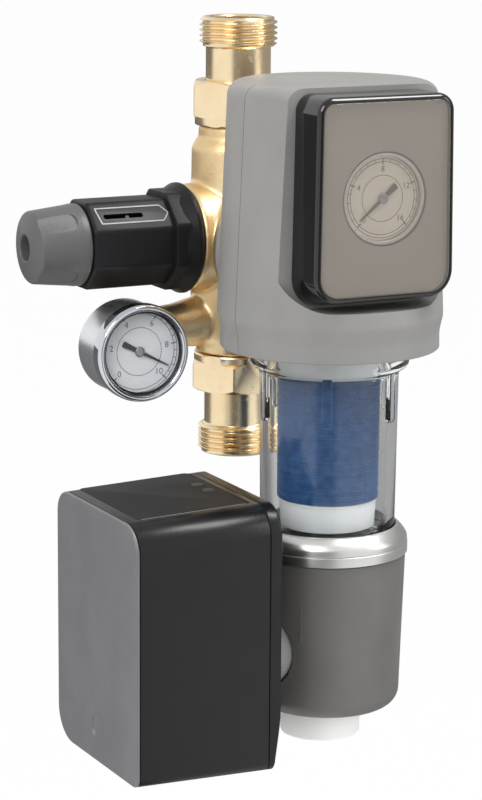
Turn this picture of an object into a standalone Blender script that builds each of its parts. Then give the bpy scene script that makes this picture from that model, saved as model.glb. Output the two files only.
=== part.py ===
"""Automatic backwash disc filter with pressure regulator, two gauges and a
battery flush actuator.  Dimensions are in millimetres; finish() turns them
into metres.  The origin is the middle of the vertical pipe axis, X points to
the viewer's right, Y away from the viewer, Z up."""

import math

import bmesh
import bpy
from mathutils import Matrix, Vector

MM = 0.001
GAP = 0.3                 # clearance between pieces that rest on each other

# Pipe line (G1 male thread at both ends)
THREAD_R = 16.6           # over the crests
THREAD_LENGTH = 12.5
NECK_R = 13.85
PIPE_BORE_R = 11.5
BODY_TOP = 48.0
BODY_BOTTOM = -49.7
UPPER_NUT_LENGTH = 18.9
LOWER_NUT_LENGTH = 16.2
UPPER_REACH = 26.8        # tail beyond its nut
LOWER_REACH = 27.8
NUT_FLATS = 36.4
CAST_R = 19.7

# Regulator, along X
REG_Z = 1.0
BONNET_END_X = -74.6
KNOB_END_X = -74.9        # end towards the bonnet
KNOB_TIP_X = -98.9
BONNET_FLATS = 36.6
COLLAR_FLATS = 41.4

# Gauge on the outlet side, facing the viewer
ARM_Z = BODY_BOTTOM + 15.7
ARM_FALL = 5.7            # from the pipe axis to the gauge
GAUGE_X = -62.2
GAUGE_Z = ARM_Z - ARM_FALL
GAUGE_FACE_Y = -40.0
GAUGE_R = 20.5

# Head, bowl and drain share one vertical axis
AXIS_Y = -84.0
HEAD_TOP = 74.3
HEAD_BOTTOM = -33.0
HEAD_WALL = 2.5
SEAM_Y = -89.0
FLANGE_Y = -44.0          # brass face towards the head
RECESS_Y = -109.5

# Display on the head
FRAME_FRONT_Y = -129.4
FRAME_LOW = -8.2
FRAME_HIGH = 72.4
INLET_GAUGE_Z = 32.0
INLET_GAUGE_R = 18.0

# Bowl and filter
BOWL_R = 28.4
STACK_R = 21.0
STACK_INNER_R = 14.0
STACK_TOP = HEAD_BOTTOM - 9.3
DISC_GROOVES = 9

# Drain with flush valve
RING_TOP = -107.0
STACK_BOTTOM = RING_TOP + 11.4
RING_BOTTOM = RING_TOP - 11.5
VALVE_DROP = 37.5         # valve axis under the ring
VALVE_X = -2.2
VALVE_Z = RING_BOTTOM - VALVE_DROP
DRAIN_BOTTOM = VALVE_Z - 28.0
SPOUT_BOTTOM = DRAIN_BOTTOM - 12.5
BALL_R = 10.0

# Actuator box
BOX_RIGHT = -41.0
BOX_LENGTH = 63.5
BOX_AHEAD = 39.5          # in front of the valve axis
BOX_BEHIND = 38.0
BOX_ABOVE = 68.0          # above the valve axis
BOX_BELOW = 40.5
BOX_LEFT = BOX_RIGHT - BOX_LENGTH
BOX_FRONT = AXIS_Y - BOX_AHEAD
BOX_REAR = AXIS_Y + BOX_BEHIND
BOX_TOP = VALVE_Z + BOX_ABOVE
BOX_BOTTOM = VALVE_Z - BOX_BELOW
BOX_WALL = 2.2
LID_X = BOX_LEFT + 1.6    # seam of the battery cover
BACK_X = BOX_RIGHT - 5.6  # seam of the back cover
BAY_X = BACK_X - 25.4     # wall between the cells and the gears
CELL_R = 7.2
CELL_X = (LID_X + BAY_X) / 2
TOP_DRAFT = 0.036         # the top falls towards the left
BOTTOM_DRAFT = -0.024     # the bottom rises towards the left
GEAR_MODULE = 1.2
WHEEL_TEETH = 30
PINION_TEETH = 10

PINION_Z = VALVE_Z + GEAR_MODULE * (WHEEL_TEETH + PINION_TEETH) / 2 + 0.15
BUTTONS = ((-54.5, -74.0), (-54.5, -84.0))

# Points that the origins of the moving pieces are put on
PIVOTS = {
    (KNOB_END_X, 0, REG_Z): ("regulator_knob", "regulator_spindle", "regulator_spring_plate",
                             "regulator_piston", "regulator_poppet"),
    (GAUGE_X, GAUGE_FACE_Y, GAUGE_Z): ("outlet_gauge_needle",),
    (0, FRAME_FRONT_Y, INLET_GAUGE_Z): ("inlet_gauge_needle",),
    (0, AXIS_Y, STACK_BOTTOM): ("disc_stack", "compression_cap"),
    (0, AXIS_Y, RING_TOP): ("bowl", "bowl_seal", "bowl_ring", "drain_housing", "flush_valve_body",
                            "flush_upper_seat", "flush_lower_seat", "coupling_collar", "drain_spout"),
    (VALVE_X, AXIS_Y, VALVE_Z): ("flush_ball", "flush_stem"),
    (BOX_RIGHT, AXIS_Y, VALVE_Z): ("actuator_body", "actuator_back_cover", "actuator_key_panel",
                                   "actuator_board", "actuator_motor", "actuator_wheel", "battery_pack"),
    (LID_X, AXIS_Y, VALVE_Z): ("actuator_battery_cover",),
    (BOX_RIGHT, AXIS_Y, PINION_Z): ("actuator_pinion",),
    (*BUTTONS[0], BOX_TOP): ("actuator_button_1",),
    (*BUTTONS[1], BOX_TOP): ("actuator_button_2",),
}

# colour (sRGB), roughness, metallic, transmission
LOOKS = {
    "brass": ((214, 176, 112), 0.32, 1.0, 0.0),
    "seal": ((28, 28, 30), 0.8, 0.0, 0.0),
    "black": ((38, 38, 39), 0.45, 0.0, 0.0),
    "gloss_black": ((14, 14, 15), 0.12, 0.0, 0.0),
    "bonnet": ((48, 49, 51), 0.5, 0.0, 0.0),
    "knob": ((112, 113, 115), 0.5, 0.0, 0.0),
    "head": ((158, 158, 155), 0.42, 0.0, 0.0),
    "core": ((70, 72, 75), 0.55, 0.0, 0.0),
    "panel": ((139, 133, 126), 0.15, 0.0, 0.35),
    "chrome": ((215, 218, 222), 0.1, 1.0, 0.0),
    "steel": ((175, 177, 180), 0.3, 1.0, 0.0),
    "clear": ((236, 242, 245), 0.05, 0.0, 1.0),
    "frost": ((226, 228, 228), 0.45, 0.0, 0.4),
    "dial": ((222, 226, 230), 0.6, 0.0, 0.0),
    "beige_dial": ((212, 201, 186), 0.6, 0.0, 0.0),
    "needle": ((22, 22, 24), 0.5, 0.0, 0.0),
    "disc": ((38, 78, 128), 0.45, 0.0, 0.0),
    "satin": ((206, 206, 204), 0.3, 1.0, 0.0),
    "drain": ((104, 101, 98), 0.5, 0.0, 0.0),
    "white": ((224, 224, 222), 0.5, 0.0, 0.0),
    "light_grey": ((165, 166, 167), 0.5, 0.0, 0.0),
    "ptfe": ((240, 240, 238), 0.4, 0.0, 0.0),
    "board": ((24, 92, 52), 0.5, 0.0, 0.0),
    "battery": ((60, 62, 66), 0.35, 0.4, 0.0),
    "gear": ((232, 230, 222), 0.5, 0.0, 0.0),
    "membrane": ((30, 30, 32), 0.7, 0.0, 0.0),
}


def clear_scene():
    for obj in list(bpy.data.objects):
        bpy.data.objects.remove(obj)


def linear(channel):
    value = channel / 255
    if value <= 0.04045:
        return value / 12.92
    return ((value + 0.055) / 1.055) ** 2.4


def paint(obj, look):
    """Gives the object a material of its own."""
    colour, rough, metal, clear = LOOKS[look]
    material = bpy.data.materials.new(obj.name)
    material.use_nodes = True
    shader = material.node_tree.nodes["Principled BSDF"]
    shader.inputs["Base Color"].default_value = (*map(linear, colour), 1)
    shader.inputs["Roughness"].default_value = rough
    shader.inputs["Metallic"].default_value = metal
    shader.inputs["Transmission Weight"].default_value = clear
    obj.data.materials.clear()
    obj.data.materials.append(material)


def soften(obj, angle=32):
    obj.data.shade_smooth()
    obj.data.set_sharp_from_angle(angle=math.radians(angle))


def finish(name, bm, look=None):
    """Closes the mesh work: millimetres to metres, object, material."""
    bmesh.ops.remove_doubles(bm, verts=bm.verts, dist=1e-4)
    bmesh.ops.dissolve_degenerate(bm, dist=1e-4, edges=bm.edges)
    bmesh.ops.recalc_face_normals(bm, faces=bm.faces)
    bmesh.ops.scale(bm, vec=(MM, MM, MM), verts=bm.verts)
    mesh = bpy.data.meshes.new(name)
    bm.to_mesh(mesh)
    bm.free()
    obj = bpy.data.objects.new(name, mesh)
    bpy.context.scene.collection.objects.link(obj)
    soften(obj)
    if look:
        paint(obj, look)
    return obj


def turned(axis):
    """Matrix that lays the local Z axis along the named world axis."""
    rows = {
        "Z": ((1, 0, 0), (0, 1, 0), (0, 0, 1)),
        "X": ((0, 0, 1), (1, 0, 0), (0, 1, 0)),
        "Y": ((0, 1, 0), (0, 0, 1), (1, 0, 0)),
    }[axis]
    return Matrix(rows).to_4x4()


def lathe(name, outline, look=None, axis="Z", centre=(0, 0, 0), sides=20, start=0.0):
    """Turns (radius, height) points about an axis.  An outline that leaves
    the axis and comes back to it gives a solid, any other gives a ring."""
    bm = bmesh.new()
    ring = [bm.verts.new((r, 0, h)) for r, h in outline]
    edges = [bm.edges.new(pair) for pair in zip(ring, ring[1:])]
    if outline[0][0] > 0 or outline[-1][0] > 0:
        edges.append(bm.edges.new((ring[-1], ring[0])))
    bmesh.ops.rotate(bm, verts=ring, matrix=Matrix.Rotation(start, 3, "Z"))
    bmesh.ops.spin(bm, geom=ring + edges, axis=(0, 0, 1), cent=(0, 0, 0),
                   angle=2 * math.pi, steps=sides, use_merge=True)
    bmesh.ops.transform(bm, matrix=turned(axis), verts=bm.verts)
    bmesh.ops.translate(bm, vec=centre, verts=bm.verts)
    return finish(name, bm, look)


def rod(name, radius, low, high, look=None, axis="Z", centre=(0, 0, 0), sides=16):
    """Plain cylinder between two heights."""
    outline = [(0, low), (radius, low), (radius, high), (0, high)]
    return lathe(name, outline, look, axis, centre, sides, 2.2 / sides)


def tube(name, inner, outer, low, high, look=None, axis="Z", centre=(0, 0, 0), sides=16):
    outline = [(inner, low), (outer, low), (outer, high), (inner, high)]
    return lathe(name, outline, look, axis, centre, sides)


def arc(cx, cy, radius, first, last, steps):
    """Points of an arc, angles in degrees."""
    points = []
    for i in range(steps + 1):
        a = math.radians(first + (last - first) * i / steps)
        points.append((cx + radius * math.cos(a), cy + radius * math.sin(a)))
    return points


def rounded(corners, steps=4):
    """Outline of a polygon whose corners are (x, y, corner radius)."""
    points = []
    count = len(corners)
    for i, (x, y, radius) in enumerate(corners):
        here = Vector((x, y))
        if radius <= 0:
            points.append((x, y))
            continue
        before = (Vector(corners[i - 1][:2]) - here).normalized()
        after = (Vector(corners[(i + 1) % count][:2]) - here).normalized()
        half = before.angle(after) / 2
        middle = here + (before + after).normalized() * (radius / math.sin(half))
        start = here + before * (radius / math.tan(half)) - middle
        end = here + after * (radius / math.tan(half)) - middle
        turn = start.angle_signed(end)
        for k in range(steps + 1):
            spoke = Matrix.Rotation(-turn * k / steps, 2) @ start
            points.append(tuple(middle + spoke))
    return points


def rectangle(x0, x1, y0, y1, radius=0.0, steps=4):
    return rounded([(x0, y0, radius), (x1, y0, radius), (x1, y1, radius), (x0, y1, radius)], steps)


def place(axis, u, v, h):
    """World point of an outline point (u, v) at height h along the axis."""
    return {"Z": (u, v, h), "X": (h, u, v), "Y": (u, h, v)}[axis]


def prism(name, outline, low, high, look=None, axis="Z", ease_low=0.0, ease_high=0.0, segments=2):
    """Extrudes an outline, rounding the rim of either end if asked.  The
    outline is read as (x, y) along Z, (y, z) along X and (x, z) along Y."""
    bm = bmesh.new()
    face = bm.faces.new([bm.verts.new(place(axis, u, v, low)) for u, v in outline])
    bm.normal_update()
    made = bmesh.ops.extrude_face_region(bm, geom=[face], use_keep_orig=True)
    moved = [g for g in made["geom"] if isinstance(g, bmesh.types.BMVert)]
    bmesh.ops.translate(bm, vec=place(axis, 0, 0, high - low), verts=moved)
    bmesh.ops.recalc_face_normals(bm, faces=bm.faces)
    index = "XYZ".index(axis)
    for level, ease in ((low, ease_low), (high, ease_high)):
        if ease:
            rim = [e for e in bm.edges
                   if all(abs(v.co[index] - level) < 1e-5 for v in e.verts)]
            bmesh.ops.bevel(bm, geom=rim, offset=ease, segments=segments, profile=0.5,
                            affect="EDGES", material=-1)
    return finish(name, bm, look)


def block(name, x0, x1, y0, y1, z0, z1, look=None):
    return prism(name, rectangle(x0, x1, y0, y1), z0, z1, look)


def bake(obj):
    """Replaces the mesh by what its modifiers make of it."""
    bpy.context.view_layer.update()
    graph = bpy.context.evaluated_depsgraph_get()
    mesh = bpy.data.meshes.new_from_object(obj.evaluated_get(graph))
    obj.modifiers.clear()
    obj.data = mesh
    mesh.name = obj.name


def weld(obj):
    """Merges the points that a Boolean leaves a hair apart."""
    bm = bmesh.new()
    bm.from_mesh(obj.data)
    bmesh.ops.remove_doubles(bm, verts=bm.verts, dist=0.0004 * MM)
    bmesh.ops.dissolve_degenerate(bm, dist=0.0004 * MM, edges=bm.edges)
    bm.to_mesh(obj.data)
    bm.free()


def combine(obj, others, operation):
    for other in others:
        step = obj.modifiers.new(operation.title(), "BOOLEAN")
        step.operation = operation
        step.solver = "EXACT"
        step.object = other
        bake(obj)
        weld(obj)
        bpy.data.objects.remove(other)
    soften(obj)
    return obj


def cut(obj, *cutters):
    return combine(obj, cutters, "DIFFERENCE")


def join(obj, *pieces):
    return combine(obj, pieces, "UNION")


def reshape(obj, change):
    """Moves every vertex by a function of its place in millimetres."""
    for vertex in obj.data.vertices:
        vertex.co = Vector(change(*(vertex.co / MM))) * MM
    obj.data.update()
    return obj


def spun(obj, angle, axis, centre):
    """Turns the mesh about an axis through a point, angle in degrees."""
    middle = Vector(centre) * MM
    turn = Matrix.Rotation(math.radians(angle), 4, axis)
    obj.data.transform(Matrix.Translation(middle) @ turn @ Matrix.Translation(-middle))
    return obj


def set_origins():
    """Puts the origin of every moving piece on the axis that it moves about."""
    for point, names in PIVOTS.items():
        place_of = Vector(point) * MM
        for name in names:
            obj = bpy.data.objects[name]
            obj.data.transform(Matrix.Translation(-place_of))
            obj.location = place_of


def coil(name, radius, wire, low, high, turns, look, axis="Z", centre=(0, 0, 0), steps=8, sides=4):
    """Compression spring as a round wire swept along a helix."""
    bm = bmesh.new()
    rings = []
    count = int(turns * steps)
    climb = (high - low - 2 * wire) / count
    for i in range(count + 1):
        a = 2 * math.pi * i / steps
        z = low + wire + climb * i
        ring = []
        for k in range(sides):
            b = 2 * math.pi * k / sides
            r = radius + wire * math.cos(b)
            ring.append(bm.verts.new((r * math.cos(a), r * math.sin(a), z + wire * math.sin(b))))
        rings.append(ring)
    for first, second in zip(rings, rings[1:]):
        for k in range(sides):
            n = (k + 1) % sides
            bm.faces.new((first[k], first[n], second[n], second[k]))
    bm.faces.new(rings[0])
    bm.faces.new(rings[-1])
    bmesh.ops.transform(bm, matrix=turned(axis), verts=bm.verts)
    bmesh.ops.translate(bm, vec=centre, verts=bm.verts)
    return finish(name, bm, look)


def pipe_union(side, near, far, reach):
    """Hex nut, threaded tail and gasket on one end of the brass body.  near
    is the nut's face towards the body, far the other one, reach how far the
    tail stands out of it."""
    way = 1 if far > near else -1
    shoulder = far - way * 3.2
    flange_top = shoulder - way * GAP
    flange_low = flange_top - way * 3.4
    gasket_top = flange_low - way * GAP
    gasket_low = gasket_top - way * 1.5

    corner = NUT_FLATS / 2 / math.cos(math.radians(30))
    hexagon = [(corner * math.cos(math.radians(a)), corner * math.sin(math.radians(a)))
               for a in range(0, 360, 60)]
    low, high = min(near, far), max(near, far)
    nut = prism(side + "_union_nut", hexagon, low, high)
    crown = lathe("crown", [(0, low), (18.4, low), (20.7, low + 1.6), (20.7, high - 1.6),
                            (18.4, high), (0, high)], sides=20)
    combine(nut, [crown], "INTERSECT")
    cut(nut, rod("thread_room", 15.75, near - way * 5, shoulder),
        rod("neck_room", NECK_R + GAP, shoulder - way, far + way * 5))
    paint(nut, "brass")

    end = far + way * reach
    start = end - way * THREAD_LENGTH
    lathe(side + "_union_tail", [
        (PIPE_BORE_R, flange_low), (15.3, flange_low), (15.3, flange_top), (NECK_R, flange_top),
        (NECK_R, start), (THREAD_R - 1.2, start), (THREAD_R, start + way * 1.0), (THREAD_R, end - way * 1.2),
        (THREAD_R - 1.2, end), (PIPE_BORE_R + 0.8, end), (PIPE_BORE_R, end - way * 0.8)], "brass", sides=22)

    tube(side + "_union_gasket", PIPE_BORE_R, 15.2, gasket_low, gasket_top, "seal")
    return gasket_low - way * GAP


def brass_body(top, bottom):
    """Cast body with the two union spigots, the regulator seat, the round
    flange for the head and the arm that carries the outlet gauge."""
    body = lathe("connection_body", [
        (0, bottom), (15.45, bottom), (15.45, BODY_BOTTOM), (17.6, BODY_BOTTOM),
        (17.6, BODY_BOTTOM + 2.9), (CAST_R, BODY_BOTTOM + 6.5), (CAST_R + 0.6, -8), (CAST_R, BODY_TOP - 9.5),
        (CAST_R - 1.6, BODY_TOP - 6.4), (16.8, BODY_TOP - 5), (16.8, BODY_TOP), (15.45, BODY_TOP),
        (15.45, top), (0, top)], sides=22)
    boss = lathe("boss", [(0, 2), (21.6, 2), (21.6, -13), (22.8, -14.5), (22.8, -25), (21.6, -26.2),
                          (0, -26.2)], axis="X", centre=(0, 0, REG_Z))
    neck = lathe("neck", [(0, 4), (21.5, 4), (22.0, -30), (22.4, -37.6), (23, -38.2), (30.2, -38.2),
                          (31, -39), (31, FLANGE_Y + 0.6), (30.4, FLANGE_Y), (0, FLANGE_Y)],
                 axis="Y", centre=(0, 0, REG_Z), sides=24)
    arm = lathe("arm", [(0, 0), (11.6, 0), (10.6, -22), (9.4, -30), (9.2, -60), (0, -60)],
                axis="X", centre=(0, 0, ARM_Z), sides=12)
    spun(arm, -5.2, "Y", (0, 0, ARM_Z))
    elbow = lathe("elbow", [(0, 9.8)] + arc(0, 0, 9.8, 75, 0, 3) + [(9.8, -8.4), (9.2, -9), (0, -9)],
                  axis="Y", centre=(GAUGE_X, 0, GAUGE_Z), sides=12)
    join(body, boss, neck, arm, elbow)

    feed = rod("feed", 2.5, -62, -8, axis="X", centre=(0, 0, ARM_Z), sides=8)
    spun(feed, -5.2, "Y", (0, 0, ARM_Z))
    cut(body,
        rod("inlet", PIPE_BORE_R, 14, top + 5, sides=12),
        rod("outlet", PIPE_BORE_R, bottom - 5, -12, sides=12),
        rod("return_port", 9, -60, 0.6, axis="Y", centre=(0, 0, REG_Z), sides=10),
        tube("ring_channel", 13, 19, -60, -18, axis="Y", centre=(0, 0, REG_Z), sides=12),
        rod("crossing", 4.5, -19, 0, axis="Y", centre=(0, 0, REG_Z + 17.5), sides=8),
        rod("chamber", 15, -40, -11, axis="X", centre=(0, 0, REG_Z), sides=16),
        rod("seat", 6, -12, -5, axis="X", centre=(0, 0, REG_Z), sides=10),
        rod("seat_room", 8.5, -8.8, 9.7, axis="X", centre=(0, 0, REG_Z), sides=10),
        rod("drop", 5, -28, -8, centre=(-14, 0, 0), sides=8),
        feed,
        rod("gauge_port", 2.5, -10, 0, axis="Y", centre=(GAUGE_X, 0, GAUGE_Z), sides=8),
        rod("gauge_socket", 5.3, -12, -4.2, axis="Y", centre=(GAUGE_X, 0, GAUGE_Z), sides=12))
    holes = [rod("hole", 2.3, -50, -30, axis="Y", centre=screw_place(k), sides=8) for k in range(2)]
    cut(body, *holes)
    paint(body, "brass")


def screw_place(k):
    """Centre of flange screw k, on the level of the flange axis."""
    side = (-1, 1)[k]
    return (side * 26.8 * math.cos(math.radians(48)), 0,
            REG_Z + side * 26.8 * math.sin(math.radians(48)))


def flange_parts():
    gasket = tube("flange_gasket", 9.2, 24, FLANGE_Y - 1.7, FLANGE_Y - GAP, axis="Y",
                  centre=(0, 0, REG_Z), sides=18)
    windows = []
    for k in range(4):
        window = rod("window", 3.1, -50, -40, axis="Y", centre=(0, 0, REG_Z + 16), sides=8)
        windows.append(spun(window, 90 * k, "Y", (0, 0, REG_Z)))
    paint(cut(gasket, *windows), "seal")
    for k in range(2):
        name = "flange_screw_%d" % (k + 1)
        tip = FLANGE_Y - 6.4
        screw = lathe(name, [(0, tip), (1.6, tip), (2, tip + 0.4), (2, -37.9), (3.7, -37.9), (3.7, -34.6),
                             (3.3, -34.2), (0, -34.2)], axis="Y", centre=screw_place(k), sides=8)
        x, y, z = screw_place(k)
        key = prism("key", hexagon_at(x, z, 1.75), -36.2, -33, axis="Y")
        paint(cut(screw, key), "steel")


def hexagon_at(u, v, radius):
    return [(u + radius * math.cos(math.radians(a)), v + radius * math.sin(math.radians(a)))
            for a in range(0, 360, 60)]


def octagon(flats, ease):
    """Eight-sided outline about the regulator's axis, measured across flats."""
    corner = flats / 2 / math.cos(math.radians(22.5))
    return rounded([(corner * math.cos(math.radians(a)), REG_Z + corner * math.sin(math.radians(a)), ease)
                    for a in (22.5 + 45 * k for k in range(8))], steps=2)


def regulator():
    """Bonnet, setting knob, spindle, spring plate with pointer, spring,
    piston and poppet, all on one horizontal axis."""
    centre = (0, 0, REG_Z)
    bonnet = prism("regulator_bonnet", octagon(BONNET_FLATS, 3.0), BONNET_END_X, -36, axis="X",
                   ease_low=1.2)
    collar = prism("collar", octagon(COLLAR_FLATS, 3.0), -38.2, -31, axis="X", ease_low=0.5)
    flange = lathe("flange", [(0, -26.5), (22.6, -26.5), (23.6, -27.4), (23.6, -28.8), (20.9, -33.4),
                              (0, -33.4)], axis="X", centre=centre, sides=24)
    join(bonnet, collar, flange)
    facet = REG_Z + BONNET_FLATS / 2
    pocket = prism("pocket", window_outline(0.3), facet - 1.2, facet + 5)
    slot = prism("slot", rectangle(-69.6, -49.6, -1.3, 1.3, 1.2, 3), facet - 8, facet + 5)
    for piece in (pocket, slot):
        spun(piece, 45, "X", centre)
    cut(bonnet, rod("spring_room", 13.6, -73, -20, axis="X", centre=centre, sides=14),
        rod("spindle_hole", 3.5, -80, -70, axis="X", centre=centre, sides=12), pocket, slot)
    paint(bonnet, "bonnet")

    window = prism("regulator_window", window_outline(0.0), facet - 0.9, facet - 0.1, ease_high=0.25)
    spun(cut(window, prism("sight", rectangle(-68.6, -50.6, -1.2, 1.2, 1.1, 3), facet - 3, facet + 3)),
         45, "X", centre)
    paint(window, "black")

    knob = lathe("regulator_knob", [
        (0, -93), (5.3, -93), (5.3, KNOB_TIP_X + 0.5), (5.9, KNOB_TIP_X), (14.7, KNOB_TIP_X + 2.3),
        (15.3, KNOB_TIP_X + 3.1), (16.9, -80.4), (17.3, -78), (17.3, KNOB_END_X - 0.6),
        (16.7, KNOB_END_X), (0, KNOB_END_X)],
        axis="X", centre=centre, sides=24)
    cutters = [rod("spindle_room", 3.25, -95, -70, axis="X", centre=centre, sides=10)]
    for k in range(4):
        flat = prism("flat", rectangle(-110, -80, -4.4, 4.4, 3.6, 3), REG_Z + 16.1, REG_Z + 30)
        spun(flat, -5.9, "Y", (-81.5, 0, REG_Z + 16.1))
        cutters.append(spun(flat, 45 + 90 * k, "X", centre))
    paint(cut(knob, *cutters), "knob")

    lathe("regulator_spindle", [
        (0, -92.6), (3.0, -92.6), (3.0, -72.7), (6.2, -72.7), (6.2, -70.6), (3.0, -70.6), (3.0, -46),
        (2.4, -45.2), (0, -45.2)], "steel", axis="X", centre=centre, sides=10)

    plate = lathe("regulator_spring_plate", [(3.2, -58.6), (12.8, -58.6), (12.8, -56.4), (8.2, -56.4),
                                             (8.2, -54.6), (3.2, -54.6)], axis="X", centre=centre, sides=12)
    pointer = block("pointer", -58.3, -56.7, -0.9, 0.9, REG_Z + 11.5, REG_Z + 17.3)
    spun(pointer, 45, "X", centre)
    paint(join(plate, pointer), "brass")

    coil("regulator_spring", 10.4, 0.95, -56.1, -25.4, 5.0, "steel", axis="X", centre=centre)

    lathe("regulator_piston", [
        (0, -25.1), (14.6, -25.1), (14.6, -22.6), (5, -22.6), (5, -20.6), (2.2, -20.6), (2.2, -3.4),
        (0, -3.4)], "membrane", axis="X", centre=centre, sides=14)
    lathe("regulator_poppet", [
        (2.45, -7.2), (7.3, -7.2), (7.3, -5.4), (4.4, -4.2), (2.45, -4.2)], "brass", axis="X",
        centre=centre, sides=12)


def window_outline(grow):
    return [(-71.4 - grow, 4.4 + grow), (-70.2 - grow, -3.6 - grow), (-42.0, -3.6 - grow),
            (-38.9 + grow, 0.4), (-42.0, 4.4 + grow)]


def gauge_needle(name, x, z, level, length, tail, angle):
    """Needle with hub and pin, lying in front of a dial at Y = level."""
    blade = prism(name, rounded([(x - tail, z - 1.3, 0.5), (x - 2, z - 0.9, 0), (x + length, z - 0.25, 0),
                                 (x + length, z + 0.25, 0), (x - 2, z + 0.9, 0),
                                 (x - tail, z + 1.3, 0.5)], 2),
                  level - 0.9, level - 0.4, axis="Y")
    spun(blade, angle, "Y", (x, 0, z))
    hub = lathe("hub", [(0, level - 1.3), (1.6, level - 1.3), (2.1, level - 0.9), (2.1, level - 0.3),
                        (0.95, level - 0.3), (0.95, level + 6), (0, level + 6)],
                axis="Y", centre=(x, 0, z), sides=8)
    return paint(join(blade, hub), "needle")


def pressure_gauge(prefix, x, z, rim, rear, radius, look, dial_look, needle_angle):
    """Case, dial, needle and connector of a round gauge.  rim is the Y of
    the case's front edge, rear the Y of its back."""
    inner = radius - 1.4
    seat = rim + 2.8
    post = [(3.2, rear - 2.4), (3.2, seat + 3), (1.3, seat + 3), (1.3, seat + 9), (0, seat + 9)]
    lathe(prefix + "_case", [
        (0, rear), (radius - 1.2, rear), (radius, rear - 1.2), (radius, rim), (inner, rim), (inner, seat),
        (inner - 1.7, seat), (inner - 1.7, rear - 2.4)] + post, look, axis="Y", centre=(x, 0, z), sides=18)
    tube(prefix + "_dial", 1.35, inner - 0.3, seat - 1.1, seat - GAP, dial_look, axis="Y",
         centre=(x, 0, z), sides=18)
    gauge_needle(prefix + "_needle", x, z, seat - 1.1, inner * 0.8, inner * 0.46, needle_angle)


def outlet_gauge():
    centre = (GAUGE_X, 0, GAUGE_Z)
    face = GAUGE_FACE_Y
    pressure_gauge("outlet_gauge", GAUGE_X, GAUGE_Z, face + 4.5, -15, GAUGE_R - 0.9, "chrome", "dial", 27)
    lathe("outlet_gauge_bezel", [
        (GAUGE_R - 3.1, face + 0.9), (GAUGE_R - 2.3, face), (GAUGE_R - 0.7, face), (GAUGE_R, face + 0.7),
        (GAUGE_R, face + 6.5), (GAUGE_R - 0.6, face + 6.5), (GAUGE_R - 0.6, face + 2.5),
        (GAUGE_R - 3.1, face + 2.5)],
        "chrome", axis="Y", centre=centre, sides=24)
    lathe("outlet_gauge_lens", [(0, face + 2.8), (GAUGE_R - 1.1, face + 2.8), (GAUGE_R - 1.1, face + 4.2),
                                (0, face + 4.2)], "clear", axis="Y", centre=centre, sides=20)
    stem = lathe("outlet_gauge_stem", [(0, -4.5), (4.4, -4.5), (5, -5.1), (5, -9.3), (0, -9.3)],
                 axis="Y", centre=centre, sides=12)
    square = prism("square", rectangle(GAUGE_X - 6, GAUGE_X + 6, GAUGE_Z - 6, GAUGE_Z + 6, 1.2, 2),
                   -14.7, -9.3, axis="Y")
    join(stem, square)
    paint(cut(stem, rod("bore", 1.6, -20, 0, axis="Y", centre=centre, sides=8)), "brass")


def inlet_gauge():
    centre = (0, 0, INLET_GAUGE_Z)
    pressure_gauge("inlet_gauge", 0, INLET_GAUGE_Z, FRAME_FRONT_Y + 2.4, RECESS_Y + 2, INLET_GAUGE_R,
                   "steel", "beige_dial", 140)
    lathe("inlet_gauge_stem", [
        (1.2, -96.8), (2.6, -96.8), (3.0, -97.3), (3.0, -100.3), (5.4, -100.3), (5.4, -107.2),
        (1.2, -107.2)], "brass", axis="Y", centre=centre, sides=12)


def head_outline(inset=0.0, low=HEAD_BOTTOM):
    """Profile of the round head, slightly wider towards the bottom, with
    a soft step above its skirt."""
    edge = 5.5 - inset / 2
    top = arc(42.0 - inset - edge, HEAD_TOP - inset - edge, edge, 90, 0, 4)
    return [(0, HEAD_TOP - inset)] + top + [
        (45.9 - inset, HEAD_BOTTOM + 13.5), (45.7 - inset, HEAD_BOTTOM + 11.5),
        (44.9 - inset, HEAD_BOTTOM + 9.0), (44.5 - inset, HEAD_BOTTOM + 6.5), (44.6 - inset, low), (0, low)]


def recess_block(name, grow):
    """Space in front of the flat land that the display stands on."""
    half = 38 + grow
    low = -12.6 - grow
    return prism(name, rounded([(-half, low, 17), (half, low, 17), (half, 90, 0), (-half, 90, 0)], 6),
                 -150, RECESS_Y + grow, axis="Y")


def head_covers():
    centre = (0, AXIS_Y, 0)
    front = lathe("head_front_cover", head_outline(), centre=centre, sides=32)
    cut(front, recess_block("recess", 0.0), block("rear_half", -60, 60, SEAM_Y - GAP / 2, 0, -60, 90))
    room = lathe("room", head_outline(HEAD_WALL, HEAD_BOTTOM - 10), centre=centre, sides=32)
    cut(room, recess_block("wall", HEAD_WALL))
    cut(front, room, rod("opening", INLET_GAUGE_R + 0.9, -120, -100, axis="Y", centre=(0, 0, INLET_GAUGE_Z),
                         sides=18))
    paint(front, "head")

    rear = lathe("head_rear_cover", head_outline(), centre=centre, sides=32)
    collar = lathe("collar", [(0, -80), (31.6, -80), (32.3, -50), (32.3, -30), (0, -30)], axis="Y",
                   centre=(0, 0, REG_Z), sides=24)
    join(rear, collar)
    cut(rear, block("front_half", -60, 60, -150, SEAM_Y + GAP / 2, -60, 90),
        block("behind", -60, 60, FLANGE_Y - 0.4, 20, -60, 90))
    room = lathe("room", head_outline(HEAD_WALL, HEAD_BOTTOM - 10), centre=centre, sides=32)
    cut(room, block("back_wall", -60, 60, FLANGE_Y - 0.4 - HEAD_WALL, 20, -60, 90))
    cut(rear, room, rod("flange_room", 30.5, -90, -40, axis="Y", centre=(0, 0, REG_Z), sides=20))
    paint(rear, "head")


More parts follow.
